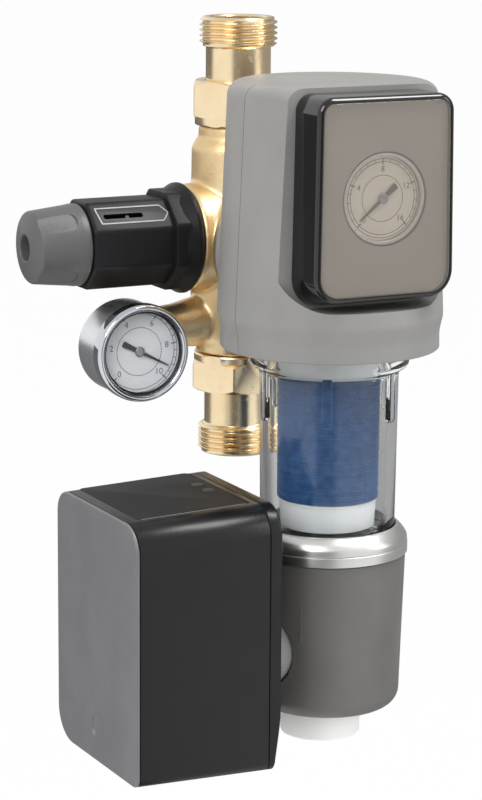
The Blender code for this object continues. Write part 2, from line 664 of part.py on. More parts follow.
def head_core():
    """Manifold inside the head: outer ring channel for raw water down to
    the bowl, middle bore for filtered water back to the regulator."""
    centre = (0, AXIS_Y, 0)
    shelf = HEAD_BOTTOM + 17.1
    core = lathe("head_core", [(0, -4), (21.5, -4), (21.5, shelf), (35.5, shelf), (36.8, shelf - 1.3),
                               (36.8, HEAD_BOTTOM - GAP), (0, HEAD_BOTTOM - GAP)], centre=centre, sides=24)
    neck = lathe("neck", [(0, AXIS_Y), (23.5, AXIS_Y), (23.5, FLANGE_Y - 7), (30, FLANGE_Y - 7),
                          (30, FLANGE_Y - 2), (0, FLANGE_Y - 2)],
                 axis="Y", centre=(0, 0, REG_Z), sides=18)
    join(core, neck, rod("tower", 16, -6, 44, centre=centre))
    cut(core,
        rod("bowl_socket", 31, -50, shelf - 2.9, centre=centre, sides=28),
        rod("drop", 4.5, -25, -13, centre=(0, -60, 0)),
        rod("return_bore", 7.4, -90.6, -30, axis="Y", centre=(0, 0, REG_Z), sides=12),
        rod("filter_socket", 8, -20, 3.7, centre=centre),
        tube("ring_channel", 13, 19, -64, -30, axis="Y", centre=(0, 0, REG_Z), sides=12),
        rod("gauge_feed", 1.8, -20, INLET_GAUGE_Z + 1, centre=(0, AXIS_Y - 12.6, 0), sides=6),
        rod("gauge_port", 3.3, -110, -96.4, axis="Y", centre=(0, 0, INLET_GAUGE_Z), sides=10))
    holes = [rod("hole", 2.3, -52, -40, axis="Y", centre=screw_place(k), sides=8) for k in range(2)]
    paint(cut(core, *holes), "core")


def display_outline(inset):
    top, bottom = 30.2 - inset, 31.1 - inset
    return rounded([(-bottom, FRAME_LOW + inset, 11 - inset), (bottom, FRAME_LOW + inset, 11 - inset),
                    (top, FRAME_HIGH - inset, 7 - inset), (-top, FRAME_HIGH - inset, 7 - inset)], 6)


def display():
    """Glossy frame with a smoked panel in its front.  A web behind the panel
    carries it and lets the gauge look through."""
    frame = prism("display_frame", display_outline(0), FRAME_FRONT_Y, RECESS_Y - GAP, axis="Y",
                  ease_low=1.3, segments=3)

    def flare(x, y, z):
        share = max(0.0, min(1.0, (18 - z) / 26)) * max(0.0, (y + 125) / 15.2)
        return x * (1 + 0.02 * share), y, z - 3.2 * share

    reshape(frame, flare)
    cut(frame, prism("panel_room", display_outline(2.0), FRAME_FRONT_Y - 3, FRAME_FRONT_Y + 2.2, axis="Y"),
        prism("inside", display_outline(3.4), FRAME_FRONT_Y + 3.6, RECESS_Y + 3, axis="Y"),
        rod("gauge_hole", INLET_GAUGE_R + 0.7, FRAME_FRONT_Y, RECESS_Y, axis="Y",
            centre=(0, 0, INLET_GAUGE_Z), sides=18))
    paint(frame, "gloss_black")
    prism("display_panel", display_outline(2.3), FRAME_FRONT_Y - 0.3, FRAME_FRONT_Y + 1.9, "panel",
          axis="Y", ease_low=0.7)


def filter_parts():
    """Spine, disc stack, pressing cap, its spring and the end nut."""
    centre = (0, AXIS_Y, 0)
    low = STACK_BOTTOM
    spine = lathe("filter_spine", [
        (5.6, STACK_TOP + 5.5), (18.4, STACK_TOP + 5.5), (18.4, STACK_TOP + 0.4), (20.4, STACK_TOP + 0.4),
        (20.4, STACK_TOP + 7.9), (19.4, STACK_TOP + 8.9), (7.7, STACK_TOP + 8.9), (7.7, -4), (5.6, -4)],
        centre=centre, sides=12)
    pieces = [rod("shaft", 3.0, low - 15.3, STACK_TOP + 8.3, centre=centre, sides=8)]
    reach = STACK_INNER_R - 0.8
    for k in range(3):
        wing = block("wing", -reach, reach, AXIS_Y - 0.9, AXIS_Y + 0.9, low + 0.6, STACK_TOP + 7.3)
        pieces.append(spun(wing, 60 * k + 15, "Z", centre))
    paint(join(spine, *pieces), "white")

    pitch = (STACK_TOP - STACK_BOTTOM) / DISC_GROOVES
    outer = []
    for k in range(DISC_GROOVES):
        top = STACK_TOP - pitch * k
        outer += [(STACK_R, top), (STACK_R, top - pitch * 0.72), (STACK_R - 0.7, top - pitch * 0.86)]
    outer[-1] = (STACK_R, STACK_BOTTOM)
    lathe("disc_stack", outer + [(STACK_INNER_R, STACK_BOTTOM), (STACK_INNER_R, STACK_TOP)], "disc",
          centre=centre, sides=14)

    lathe("compression_cap", [
        (3.4, low - GAP), (20.3, low - GAP), (20.0, low - 1.8), (19.4, low - 12.8), (17.6, low - 12.8),
        (17.6, low - 3.0), (3.4, low - 3.0)], "frost", centre=centre, sides=14)
    coil("stack_spring", 8.4, 0.8, low - 12.6, low - 3.3, 3.5, "steel", centre=centre)
    tube("core_nut", 3.3, 10.2, low - 15.3, low - 12.9, "steel", centre=centre, sides=12)


def bowl_parts():
    """Clear bowl, its seal, the satin ring and the drain under it."""
    centre = (0, AXIS_Y, 0)
    top, low = HEAD_BOTTOM, RING_TOP
    bowl = lathe("bowl", [
        (6.4, low - 15.6), (7.6, low - 15.6), (7.6, low - 9.8), (30.2, low - 9.8), (30.2, low - 5.8),
        (27.7, low - 5.6), (27.7, low), (BOWL_R, top - 11), (29.2, top - 9.2), (31.6, top - 8),
        (32.6, top - 6.4), (32.6, top - 1.2), (32.2, top - 0.7), (30.4, top - 0.7), (30.4, top + 10.5),
        (26.8, top + 10.5), (25.6, top - 5), (24.9, low + 1), (21.5, low - 4.6), (6.4, low - 6.6)],
        centre=centre, sides=24)
    ribs = []
    for k in range(6):
        outline = rounded([(-2.2, top - 29, 2.1), (2.2, top - 29, 2.1), (1.9, top - 8.5, 0),
                           (-1.9, top - 8.5, 0)], 2)
        rib = prism("rib", outline, AXIS_Y - 30.3, AXIS_Y - 27, axis="Y")
        ribs.append(spun(rib, 30 + 60 * k, "Z", centre))
    paint(join(bowl, *ribs), "clear")

    lathe("bowl_seal", arc(28.5, top + 12.3, 1.4, 0, 300, 5), "seal", centre=centre, sides=16)

    lathe("bowl_ring", [
        (28.3, low), (29.4, low - 0.3), (31.6, low - 2.6), (32.9, low - 4.6), (33.1, low - 6.9),
        (32.6, low - 7.2), (33.2, low - 7.5), (33.2, RING_BOTTOM), (31.0, RING_BOTTOM),
        (30.6, low - 5.3), (28.3, low - 5.3)], "satin", centre=centre, sides=26)

    top = RING_BOTTOM - GAP
    low = DRAIN_BOTTOM
    waist = VALVE_Z + 6
    housing = lathe("drain_housing", [(29.8, top), (32.4, top), (31.4, waist)]
                    + arc(23.6, low + 6.8, 6.8, 0, -90, 4)
                    + [(14.0, low), (14.0, low + 2.5), (23.2, low + 2.5), (27.8, low + 7.2), (28.9, waist)],
                    centre=centre, sides=28)
    paint(cut(housing, rod("side_opening", 18.7, -60, -8, axis="X", centre=(0, AXIS_Y, VALVE_Z), sides=18)),
          "drain")


def flush_valve():
    """Ball valve in the drain: body, seats, ball, stem, collar, spout."""
    centre = (VALVE_X, AXIS_Y, 0)
    side = (0, AXIS_Y, VALVE_Z)
    top = RING_BOTTOM + 1.4
    room = VALVE_Z + 9.8
    foot = DRAIN_BOTTOM + 2.8
    body = lathe("flush_valve_body", [
        (10.4, top), (26.6, top), (26.6, top - 3.3), (19, top - 5.3), (17, top - 8.9), (17, foot),
        (11.3, foot), (11.3, room), (6.5, room), (6.5, top - 6.9), (10.4, top - 6.9)],
        centre=centre, sides=14)
    join(body, rod("boss", 13, -26.7, -6, axis="X", centre=side))
    cut(body, rod("ball_room", 11.3, foot - 4, room, centre=centre, sides=16),
        rod("stem_bore", 5.3, -30, -6, axis="X", centre=side, sides=12))
    paint(body, "core")

    seat = [(6.3, 8.5), (7.8, 6.8), (9.0, 5.2), (11.0, 5.2), (11.0, 9.4), (6.3, 9.4)]
    lathe("flush_upper_seat", [(r, VALVE_Z + h) for r, h in seat], "ptfe", centre=centre, sides=12)
    lathe("flush_lower_seat", [(r, VALVE_Z - h) for r, h in seat], "ptfe", centre=centre, sides=12)

    ball = lathe("flush_ball", arc(0, VALVE_Z, BALL_R, -90, 90, 8), centre=centre, sides=14)
    ball_centre = (VALVE_X, AXIS_Y, VALVE_Z)
    cut(ball, rod("passage", 6, -20, 20, axis="Y", centre=ball_centre, sides=12),
        block("key_slot", VALVE_X - 12, VALVE_X - 7.8, AXIS_Y - 1.7, AXIS_Y + 1.7,
              VALVE_Z - 5.4, VALVE_Z + 5.4))
    paint(ball, "chrome")

    stem = rod("flush_stem", 4.8, -43.2, -12.9, axis="X", centre=side, sides=12)
    join(stem, block("tongue", -13.5, -10.5, AXIS_Y - 1.4, AXIS_Y + 1.4, VALVE_Z - 4.4, VALVE_Z + 4.4))
    paint(cut(stem, block("dog_slot", -50, -37.6, AXIS_Y - 1.7, AXIS_Y + 1.7, VALVE_Z - 6, VALVE_Z + 6)),
          "steel")

    lathe("coupling_collar", [
        (5.3, -44), (12, -44), (12, -40.7), (16.6, -40.7), (17.5, -39.8), (17.5, -22), (13.3, -22),
        (13.3, -27), (5.3, -27)], "light_grey", axis="X", centre=side, sides=18)

    lathe("drain_spout", [
        (6.5, VALVE_Z - 9.8), (11.0, VALVE_Z - 9.8), (11.0, DRAIN_BOTTOM - GAP), (16.5, DRAIN_BOTTOM - GAP),
        (16.5, SPOUT_BOTTOM + 1), (15.6, SPOUT_BOTTOM), (7.4, SPOUT_BOTTOM), (6.5, SPOUT_BOTTOM + 0.9)],
        "white", centre=centre, sides=18)


def box_outline(inset=0.0, top_extra=0.0):
    y0, y1 = BOX_FRONT + inset, BOX_REAR - inset
    z0, z1 = BOX_BOTTOM + inset, BOX_TOP - inset - top_extra
    return rounded([(y0, z0, max(1.5, 4 - inset)), (y1, z0, 14 - inset), (y1, z1, 10 - inset),
                    (y0, z1, 12 - inset)], 6)


def key_outline(grow):
    return rectangle(BOX_LEFT + 6.5 - grow, BACK_X - 2.9 + grow, BOX_FRONT + 12.5 - grow,
                     BOX_REAR - 7 + grow, 2 + grow)


def slant(wall):
    """Space under the slanted lower end of the back cover."""
    right, top, low = BOX_RIGHT - wall, VALVE_Z - 16, BOX_BOTTOM - 9
    return prism("slant", [(right, top), (right + 9, top), (right + 9, low), (right - 4.6, low)],
                 BOX_FRONT - 9, BOX_REAR + 9, axis="Y")


def draft(x, y, z):
    """Leans top and bottom of the box towards each other on the left."""
    share = (z - BOX_BOTTOM) / (BOX_TOP - BOX_BOTTOM)
    lean = BOTTOM_DRAFT + (TOP_DRAFT - BOTTOM_DRAFT) * share
    return x, y, z + lean * (x - BOX_RIGHT)


def gear(name, teeth, width, y, z, turn):
    """Straight-cut wheel along X with trapezoid teeth."""
    pitch_r = GEAR_MODULE * teeth / 2
    root, tip = pitch_r - 1.1 * GEAR_MODULE, pitch_r + 0.8 * GEAR_MODULE
    step = 2 * math.pi / teeth
    outline = []
    for k in range(teeth):
        for share, radius in ((-0.29, root), (-0.1, tip), (0.1, tip), (0.29, root)):
            a = math.radians(turn) + step * (k + share)
            outline.append((y + radius * math.sin(a), z + radius * math.cos(a)))
    return prism(name, outline, width[0], width[1], axis="X")


def actuator():
    """Battery box that turns the flush valve."""
    side = (0, AXIS_Y, VALVE_Z)
    body = prism("actuator_body", box_outline(), LID_X, BACK_X, axis="X")
    inner = box_outline(BOX_WALL, 1.6)
    cut(body, prism("battery_bay", inner, LID_X - 2, BAY_X, axis="X"),
        prism("gear_bay", inner, BAY_X + 2, BACK_X + 2, axis="X"))
    join(body, rod("wheel_pin", 3.0, BAY_X + 1.5, BACK_X - 3, axis="X", centre=side, sides=10))
    cut(body, prism("key_room", key_outline(GAP), BOX_TOP - 1.6, BOX_TOP + 9))
    for x, y in BUTTONS:
        cut(body, rod("button_hole", 1.9, BOX_TOP - 12, BOX_TOP + 8, centre=(x, y, 0), sides=8))
    paint(reshape(body, draft), "black")

    lid = prism("actuator_battery_cover", box_outline(), BOX_LEFT, LID_X - GAP, axis="X", ease_low=0.6)
    join(lid, prism("plug", box_outline(BOX_WALL + GAP, 1.6), LID_X - GAP - 0.5, LID_X + 2, axis="X"))
    thumb = lathe("thumb", [(0, -1.3), (5.6, -1.3), (6.6, 0.3), (6.6, 3), (0, 3)], axis="X", sides=12)
    thumb.data.transform(Matrix.Rotation(math.pi, 4, "Z"))
    thumb.data.transform(Matrix.Translation(Vector((BOX_LEFT, AXIS_Y - 2, BOX_BOTTOM + 15)) * MM))
    paint(reshape(cut(lid, thumb), draft), "black")

    back = prism("actuator_back_cover", box_outline(), BACK_X + GAP, BOX_RIGHT, axis="X", ease_high=1.2)
    hollow = prism("hollow", box_outline(BOX_WALL, 1.6), BACK_X - 2, BOX_RIGHT - 2.4, axis="X")
    cut(hollow, slant(BOX_WALL))
    cut(back, hollow, rod("collar_hole", 12.3, -60, -30, axis="X", centre=side, sides=16), slant(0.0))
    paint(reshape(back, draft), "black")

    keys = prism("actuator_key_panel", key_outline(0), BOX_TOP - 1.3, BOX_TOP)
    holes = [rod("key_hole", 3.0, BOX_TOP - 12, BOX_TOP + 8, centre=(x, y, 0), sides=12) for x, y in BUTTONS]
    cut(keys, *holes)
    paint(reshape(keys, draft), "black")

    for n, (x, y) in enumerate(BUTTONS):
        surface = draft(x, y, BOX_TOP)[2]
        lathe("actuator_button_%d" % (n + 1), [
            (0, surface - 5), (1.5, surface - 5), (1.5, surface - 0.7), (2.7, surface - 0.7),
            (2.7, surface + 0.1), (2.3, surface + 0.45), (0, surface + 0.6)], "knob",
            centre=(x, y, 0), sides=12)

    block("actuator_board", BAY_X + 2.3, BACK_X - 3.4, BOX_FRONT + 11.5, BOX_REAR - 12, BOX_TOP - 8,
          BOX_TOP - 6.4, "board")

    lathe("actuator_motor", [
        (0, -69.7), (9.4, -69.7), (10, -69), (10, -58.2), (9.4, -57.5), (3, -57.5), (3, -56.6), (1.1, -56.6),
        (1.1, -49.8), (0, -49.8)], "steel", axis="X", centre=(0, AXIS_Y, PINION_Z), sides=14)

    pinion = gear("actuator_pinion", PINION_TEETH, (-55.4, -50.2), AXIS_Y, PINION_Z, 18)
    paint(cut(pinion, rod("bore", 1.35, -60, -45, axis="X", centre=(0, AXIS_Y, PINION_Z), sides=8)), "brass")

    wheel = gear("actuator_wheel", WHEEL_TEETH, (-54.8, -50.8), AXIS_Y, VALVE_Z, 0)
    hub = lathe("hub", [(0, -57), (6, -57), (6, -49), (4.8, -48), (4.8, -43.6), (0, -43.6)], axis="X",
                centre=side, sides=12)
    join(wheel, hub, block("dog", -44.5, -38, AXIS_Y - 1.35, AXIS_Y + 1.35, VALVE_Z - 4.2, VALVE_Z + 4.2))
    paint(cut(wheel, rod("bore", 3.3, -60, -49.3, axis="X", centre=side, sides=10)), "gear")

    pack = None
    for k in range(4):
        foot = BOX_BOTTOM + 3.6
        cell = lathe("battery_pack", [
            (0, foot), (CELL_R, foot), (CELL_R, foot + 48.5), (CELL_R - 0.5, foot + 49), (2.7, foot + 49),
            (2.7, foot + 50.3), (0, foot + 50.3)], centre=(CELL_X, AXIS_Y + 18 - 13.5 * k, 0), sides=10)
        pack = join(pack, cell) if pack else cell
    paint(pack, "battery")


clear_scene()
spigot_top = pipe_union("upper", BODY_TOP + GAP, BODY_TOP + GAP + UPPER_NUT_LENGTH, UPPER_REACH)
spigot_bottom = pipe_union("lower", BODY_BOTTOM - GAP, BODY_BOTTOM - GAP - LOWER_NUT_LENGTH, LOWER_REACH)
brass_body(spigot_top, spigot_bottom)
flange_parts()
regulator()
outlet_gauge()
inlet_gauge()
head_covers()
head_core()
display()
filter_parts()
bowl_parts()
flush_valve()
actuator()
set_origins()
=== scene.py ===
import math

import bmesh
import bpy
from mathutils import Matrix, Vector


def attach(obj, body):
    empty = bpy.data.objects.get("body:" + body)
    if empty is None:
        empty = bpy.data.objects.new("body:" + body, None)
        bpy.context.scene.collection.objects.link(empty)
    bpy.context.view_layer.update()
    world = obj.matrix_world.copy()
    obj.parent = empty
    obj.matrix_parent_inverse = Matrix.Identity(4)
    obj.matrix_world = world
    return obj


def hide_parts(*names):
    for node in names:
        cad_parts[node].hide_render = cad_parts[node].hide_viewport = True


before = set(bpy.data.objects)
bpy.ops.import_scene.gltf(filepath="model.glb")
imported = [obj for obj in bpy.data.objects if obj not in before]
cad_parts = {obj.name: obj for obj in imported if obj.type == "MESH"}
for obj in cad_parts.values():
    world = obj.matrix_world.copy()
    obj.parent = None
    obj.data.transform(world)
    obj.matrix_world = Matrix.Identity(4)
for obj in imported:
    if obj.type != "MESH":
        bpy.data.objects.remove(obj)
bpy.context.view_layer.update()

# Lengths are written in millimetres and become metres when a piece is finished.
# The origin is the middle of the pipe axis, X to the viewer's right, Y away, Z up.
# ROUND and SMALL_ROUND are the steps of a full turn, GAP the play between pieces.
MM = 0.001
ROUND = 128
SMALL_ROUND = 48
GAP = 0.3

PIPE_HALF = 94.0
THREAD_R = 16.6
THREAD_ROOT_R = 15.15
THREAD_PITCH = 2.309
THREAD_LENGTH = 12.5
NECK_R = 13.85
PIPE_BORE_R = 11.5
UPPER_NUT = (48.3, 67.2)
LOWER_NUT = (-50.0, -66.2)
NUT_FLATS = 36.4
NUT_END = 3.2

REG_Z = 1.0
REG_AXIS = (0, 0, REG_Z)
FACET_TURN = 45
BONNET_FLATS = 36.6
COLLAR_FLATS = 41.4
BONNET_END_X = -74.6
KNOB_END_X = -74.9
KNOB_TIP_X = -98.9
KNOB_FLAT_R = 16.1
KNOB_LEAN = 5.9

GAUGE_X = -62.2
GAUGE_Z = -39.7
GAUGE_FACE_Y = -40.0
GAUGE_R = 20.5
GAUGE_REAR_Y = -15.0
GAUGE_WALL = 1.4
DIAL_DEPTH = 2.8
DIAL_THICK = 1.1
ARM_SLOPE = 5.2
ARM_Z = -34.0
OUTLET_NEEDLE_ANGLE = 27

AXIS_Y = -84.0
FILTER_AXIS = (0, AXIS_Y, 0)
HEAD_TOP = 74.3
HEAD_LOW = -33.0
HEAD_WALL = 2.5
SEAM_Y = -89.0
RECESS_Y = -109.5
REAR_Y = -44.4
FRAME_FRONT_Y = -129.4
FRAME_LOW = -8.2
FRAME_HIGH = 72.4
FLARE_TOP = 18.0
FLARE_DROP = 3.2
INLET_GAUGE_Z = 32.0
INLET_GAUGE_R = 18.0
INLET_RIM_Y = -127.0
INLET_REAR_Y = -107.5
INLET_NEEDLE_ANGLE = 140

BOWL_R = 28.4
STACK_R = 21.0
STACK_INNER_R = 14.0
STACK_TOP = -42.3
STACK_BOTTOM = -95.6
DISC_COUNT = 64
RING_TOP = -107.0
RING_BOTTOM = -118.5
DRAIN_BOTTOM = -184.0
SPOUT_BOTTOM = -196.5
VALVE_X = -2.2
VALVE_Z = -156.0
VALVE_AXIS = (0, AXIS_Y, VALVE_Z)
PARTING_ANGLE = -47

BOX_LEFT = -104.5
BOX_RIGHT = -41.0
BOX_FRONT = -123.5
BOX_REAR = -46.0
BOX_TOP = -88.0
BOX_BOTTOM = -196.5
BOX_WALL = 2.2
LID_X = -102.9
THUMB_SPOT = (-86.0, -181.5)
BACK_X = -46.6
BAY_X = -72.0
TOP_DRAFT = 0.036
BOTTOM_DRAFT = -0.024
KEY_PANEL = (-98.0, -49.5, -111.0, -53.0)
BUTTONS = ((-54.5, -74.0), (-54.5, -84.0))


def turned(axis):
    """Matrix that lays the local Z axis along the named world axis."""
    rows = {
        "Z": ((1, 0, 0), (0, 1, 0), (0, 0, 1)),
        "X": ((0, 0, 1), (1, 0, 0), (0, 1, 0)),
        "Y": ((0, 1, 0), (0, 0, 1), (1, 0, 0)),
    }[axis]
    return Matrix(rows).to_4x4()


def in_scene(name, data):
    obj = bpy.data.objects.new(name, data)
    bpy.context.scene.collection.objects.link(obj)
    return obj


def placed(name, bm):
    """Puts mesh work in the scene."""
    mesh = bpy.data.meshes.new(name)
    bm.to_mesh(mesh)
    bm.free()
    return in_scene(name, mesh)


def made_object(name, bm):
    """Closes the mesh work and puts it in the scene, in metres."""
    bmesh.ops.remove_doubles(bm, verts=bm.verts, dist=1e-4)
    bmesh.ops.dissolve_degenerate(bm, dist=1e-4, edges=bm.edges)
    bmesh.ops.recalc_face_normals(bm, faces=bm.faces)
    bmesh.ops.scale(bm, vec=(MM, MM, MM), verts=bm.verts)
    return placed(name, bm)


def round_corners(bm, spots, eases, steps):
    """Rounds the corners of an outline; an ease is the length that a corner
    gives up along each side."""
    for ease in sorted(set(eases)):
        corners = [spot for spot, own in zip(spots, eases) if own == ease]
        if ease > 0:
            bmesh.ops.bevel(bm, geom=corners, offset=ease, segments=steps, profile=0.5,
                            affect="VERTICES", material=-1)


def lathe(name, outline, axis="Z", centre=(0, 0, 0), steps=ROUND, corner_steps=4):
    """Turned piece from (radius, height) or (radius, height, ease) points."""
    bm = bmesh.new()
    spots = [bm.verts.new((point[0], 0, point[1])) for point in outline]
    for pair in zip(spots, spots[1:]):
        bm.edges.new(pair)
    if outline[0][0] > 0 or outline[-1][0] > 0:
        bm.edges.new((spots[-1], spots[0]))
    round_corners(bm, spots, [point[2] if len(point) > 2 else 0 for point in outline], corner_steps)
    bmesh.ops.spin(bm, geom=bm.verts[:] + bm.edges[:], axis=(0, 0, 1), cent=(0, 0, 0),
                   angle=2 * math.pi, steps=steps, use_merge=True)
    bmesh.ops.transform(bm, matrix=turned(axis), verts=bm.verts)
    bmesh.ops.translate(bm, vec=centre, verts=bm.verts)
    return made_object(name, bm)


def rod(radius, low, high, axis="Z", centre=(0, 0, 0), steps=SMALL_ROUND):
    return lathe("rod", [(0, low), (radius, low), (radius, high), (0, high)], axis, centre, steps)


def laid(axis, u, v, h):
    """Point at u and v across the named axis and h along it."""
    return {"Z": (u, v, h), "X": (h, u, v), "Y": (u, h, v)}[axis]


def slab(name, corners, low, high, axis="Z", ease_low=0.0, ease_high=0.0, steps=8, rim_steps=3):
    """Plate or block from (u, v) or (u, v, ease) corners, with soft rims."""
    bm = bmesh.new()
    spots = [bm.verts.new(laid(axis, corner[0], corner[1], low)) for corner in corners]
    bm.faces.new(spots)
    round_corners(bm, spots, [corner[2] if len(corner) > 2 else 0 for corner in corners], steps)
    bm.normal_update()
    made = bmesh.ops.extrude_face_region(bm, geom=bm.faces[:], use_keep_orig=True)
    lifted = [part for part in made["geom"] if isinstance(part, bmesh.types.BMVert)]
    bmesh.ops.translate(bm, vec=laid(axis, 0, 0, high - low), verts=lifted)
    bmesh.ops.recalc_face_normals(bm, faces=bm.faces)
    index = "XYZ".index(axis)
    for level, ease in ((low, ease_low), (high, ease_high)):
        if ease > 0:
            rim = [edge for edge in bm.edges
                   if all(abs(vert.co[index] - level) < 1e-5 for vert in edge.verts)]
            bmesh.ops.bevel(bm, geom=rim, offset=ease, segments=rim_steps, profile=0.5,
                            affect="EDGES", material=-1)
    return made_object(name, bm)


def many_sided(sides, flats, ease, turn=0, middle=0):
    """Regular outline of a given width over its flats."""
    corner = flats / 2 / math.cos(math.pi / sides)
    angles = [math.radians(turn + 360 * k / sides) for k in range(sides)]
    return [(corner * math.cos(a), middle + corner * math.sin(a), ease) for a in angles]


def rectangle(u0, u1, v0, v1, ease=0.0):
    return [(u0, v0, ease), (u1, v0, ease), (u1, v1, ease), (u0, v1, ease)]


def bake(obj):
    """Replaces the mesh by what its modifiers make of it."""
    bpy.context.view_layer.update()
    graph = bpy.context.evaluated_depsgraph_get()
    mesh = bpy.data.meshes.new_from_object(obj.evaluated_get(graph))
    obj.modifiers.clear()
    obj.data = mesh
    mesh.name = obj.name
    bm = bmesh.new()
    bm.from_mesh(mesh)
    bmesh.ops.remove_doubles(bm, verts=bm.verts, dist=0.0004 * MM)
    bmesh.ops.dissolve_degenerate(bm, dist=0.0004 * MM, edges=bm.edges)
    bm.to_mesh(mesh)
    bm.free()


def combine(obj, others, operation):
    for other in others:
        step = obj.modifiers.new(operation.title(), "BOOLEAN")
        step.operation = operation
        step.solver = "EXACT"
        step.object = other
        bake(obj)
        bpy.data.objects.remove(other)
    return obj


def cut(obj, *cutters):
    return combine(obj, cutters, "DIFFERENCE")


def join(obj, *others):
    return combine(obj, others, "UNION")


def gather(name, objs):
    """One object of several closed bodies."""
    bm = bmesh.new()
    for obj in objs:
        bm.from_mesh(obj.data)
        bpy.data.objects.remove(obj)
    return placed(name, bm)


def spun(obj, angle, axis, centre):
    """Turns the mesh about an axis through a point, angle in degrees."""
    middle = Vector(centre) * MM
    turn = Matrix.Rotation(math.radians(angle), 4, axis)
    obj.data.transform(Matrix.Translation(middle) @ turn @ Matrix.Translation(-middle))
    return obj


def moved(obj, place):
    obj.data.transform(Matrix.Translation(Vector(place) * MM))
    return obj


def reshape(obj, change):
    """Moves every vertex by a function of its place in millimetres."""
    for vertex in obj.data.vertices:
        vertex.co = Vector(change(*(vertex.co / MM))) * MM
    obj.data.update()
    return obj


def soft_edges(obj, width, angle=30):
    """Small round on every edge sharper than the angle."""
    step = obj.modifiers.new("Bevel", "BEVEL")
    step.width = width * MM
    step.segments = 2
    step.limit_method = "ANGLE"
    step.angle_limit = math.radians(angle)
    return obj


def ready(obj, body, slot, look, *nodes, angle=34):
    """Finish and body of a piece, and the nodes that it stands for (the slot is not used); faces that meet
    at a sharper angle keep a hard edge."""
    obj.data.shade_smooth()
    obj.data.set_sharp_from_angle(angle=math.radians(angle))
    obj.data.materials.clear()
    obj.data.materials.append(FINISHES[look])
    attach(obj, body)
    if nodes:
        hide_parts(*nodes)


# Finishes

def feed(tree, inputs, values):
    """Gives inputs their links or plain values."""
    for key, value in values.items():
        if isinstance(value, bpy.types.NodeSocket):
            tree.links.new(value, inputs[key])
        else:
            inputs[key].default_value = value


def add(tree, kind, values=None, **settings):
    """A shader node with its settings, and the values or links of its inputs."""
    made = tree.nodes.new("ShaderNode" + kind)
    for key, value in settings.items():
        setattr(made, key, value)
    feed(tree, made.inputs, values or {})
    return made


def maths(tree, operation, *values):
    return add(tree, "Math", dict(enumerate(values)), operation=operation).outputs[0]


def spread(tree, value, low, high, new_low=0.0, new_high=1.0):
    """Stretches what lies between low and high to the new range."""
    return add(tree, "MapRange", {"Value": value, "From Min": low, "From Max": high, "To Min": new_low,
                                  "To Max": new_high}).outputs["Result"]


def mixed(tree, share, first, second):
    return add(tree, "Mix", {0: share, 6: first, 7: second}, data_type="RGBA").outputs[2]


def noise(tree, place, scale, detail=2.0, roughness=0.5):
    return add(tree, "TexNoise", {"Vector": place, "Scale": scale, "Detail": detail,
                                  "Roughness": roughness}).outputs["Fac"]


def linear(colour):
    """Colour of 0 to 255 steps as the shader's linear numbers."""
    steps = [channel / 255 for channel in colour]
    return tuple(c / 12.92 if c <= 0.04045 else ((c + 0.055) / 1.055) ** 2.4 for c in steps) + (1.0,)


def effect(name, inputs, outputs):
    """Empty node group with named inputs, each with its first value, and
    named outputs, each with its kind."""
    tree = bpy.data.node_groups.new(name, "ShaderNodeTree")
    for label, value in inputs.items():
        kind = {3: "Vector", 4: "Color"}[len(value)] if isinstance(value, tuple) else "Float"
        socket = tree.interface.new_socket(label, in_out="INPUT", socket_type="NodeSocket" + kind)
        socket.default_value = value
    for label, kind in outputs.items():
        tree.interface.new_socket(label, in_out="OUTPUT", socket_type="NodeSocket" + kind)
    return tree, tree.nodes.new("NodeGroupInput").outputs, tree.nodes.new("NodeGroupOutput").inputs


def skin_effect():
    """Moulding or machining skin: fine grain as height, slow drift of colour
    and roughness."""
    tree, given, out = effect("skin", {
        "Place": (0, 0, 0), "Grain": 2500, "Drift": 45, "Colour": (0.5, 0.5, 0.5, 1),
        "Second Colour": (0.4, 0.4, 0.4, 1), "Smoothest": 0.3, "Roughest": 0.45},
        {"Colour": "Color", "Roughness": "Float", "Height": "Float"})
    grain = noise(tree, given["Place"], given["Grain"], 3.0, 0.6)
    share = spread(tree, noise(tree, given["Place"], given["Drift"], 4.0, 0.55), 0.35, 0.68)
    speckle = maths(tree, "MULTIPLY_ADD", share, 0.6, grain)
    feed(tree, out, {
        "Colour": mixed(tree, share, given["Colour"], given["Second Colour"]),
        "Roughness": spread(tree, speckle, 0.35, 1.2, given["Smoothest"], given["Roughest"]),
        "Height": grain})
    return tree


def wear_effect():
    """Paler, rubbed edges in broken patches."""
    tree, given, out = effect("edge_wear", {
        "Place": (0, 0, 0), "Colour": (0.5, 0.5, 0.5, 1), "Rubbed Colour": (0.8, 0.8, 0.8, 1),
        "Amount": 0.4}, {"Colour": "Color"})
    edge = spread(tree, add(tree, "NewGeometry").outputs["Pointiness"], 0.53, 0.62)
    patches = spread(tree, noise(tree, given["Place"], 420.0, 3.0), 0.35, 0.65)
    share = maths(tree, "MULTIPLY", maths(tree, "MULTIPLY", edge, patches), given["Amount"])
    feed(tree, out, {"Colour": mixed(tree, share, given["Colour"], given["Rubbed Colour"])})
    return tree


def casting_effect():
    """Sand-cast skin as height: coarse lumps with fine pits between them."""
    tree, given, out = effect("casting", {"Place": (0, 0, 0), "Lumps": 380}, {"Height": "Float"})
    lumps = noise(tree, given["Place"], given["Lumps"], 5.0, 0.62)
    pits = add(tree, "TexVoronoi", {"Vector": given["Place"], "Scale": 900.0}).outputs["Distance"]
    feed(tree, out, {"Height": maths(tree, "MULTIPLY_ADD", spread(tree, pits, 0.0, 0.35), 0.25, lumps)})
    return tree


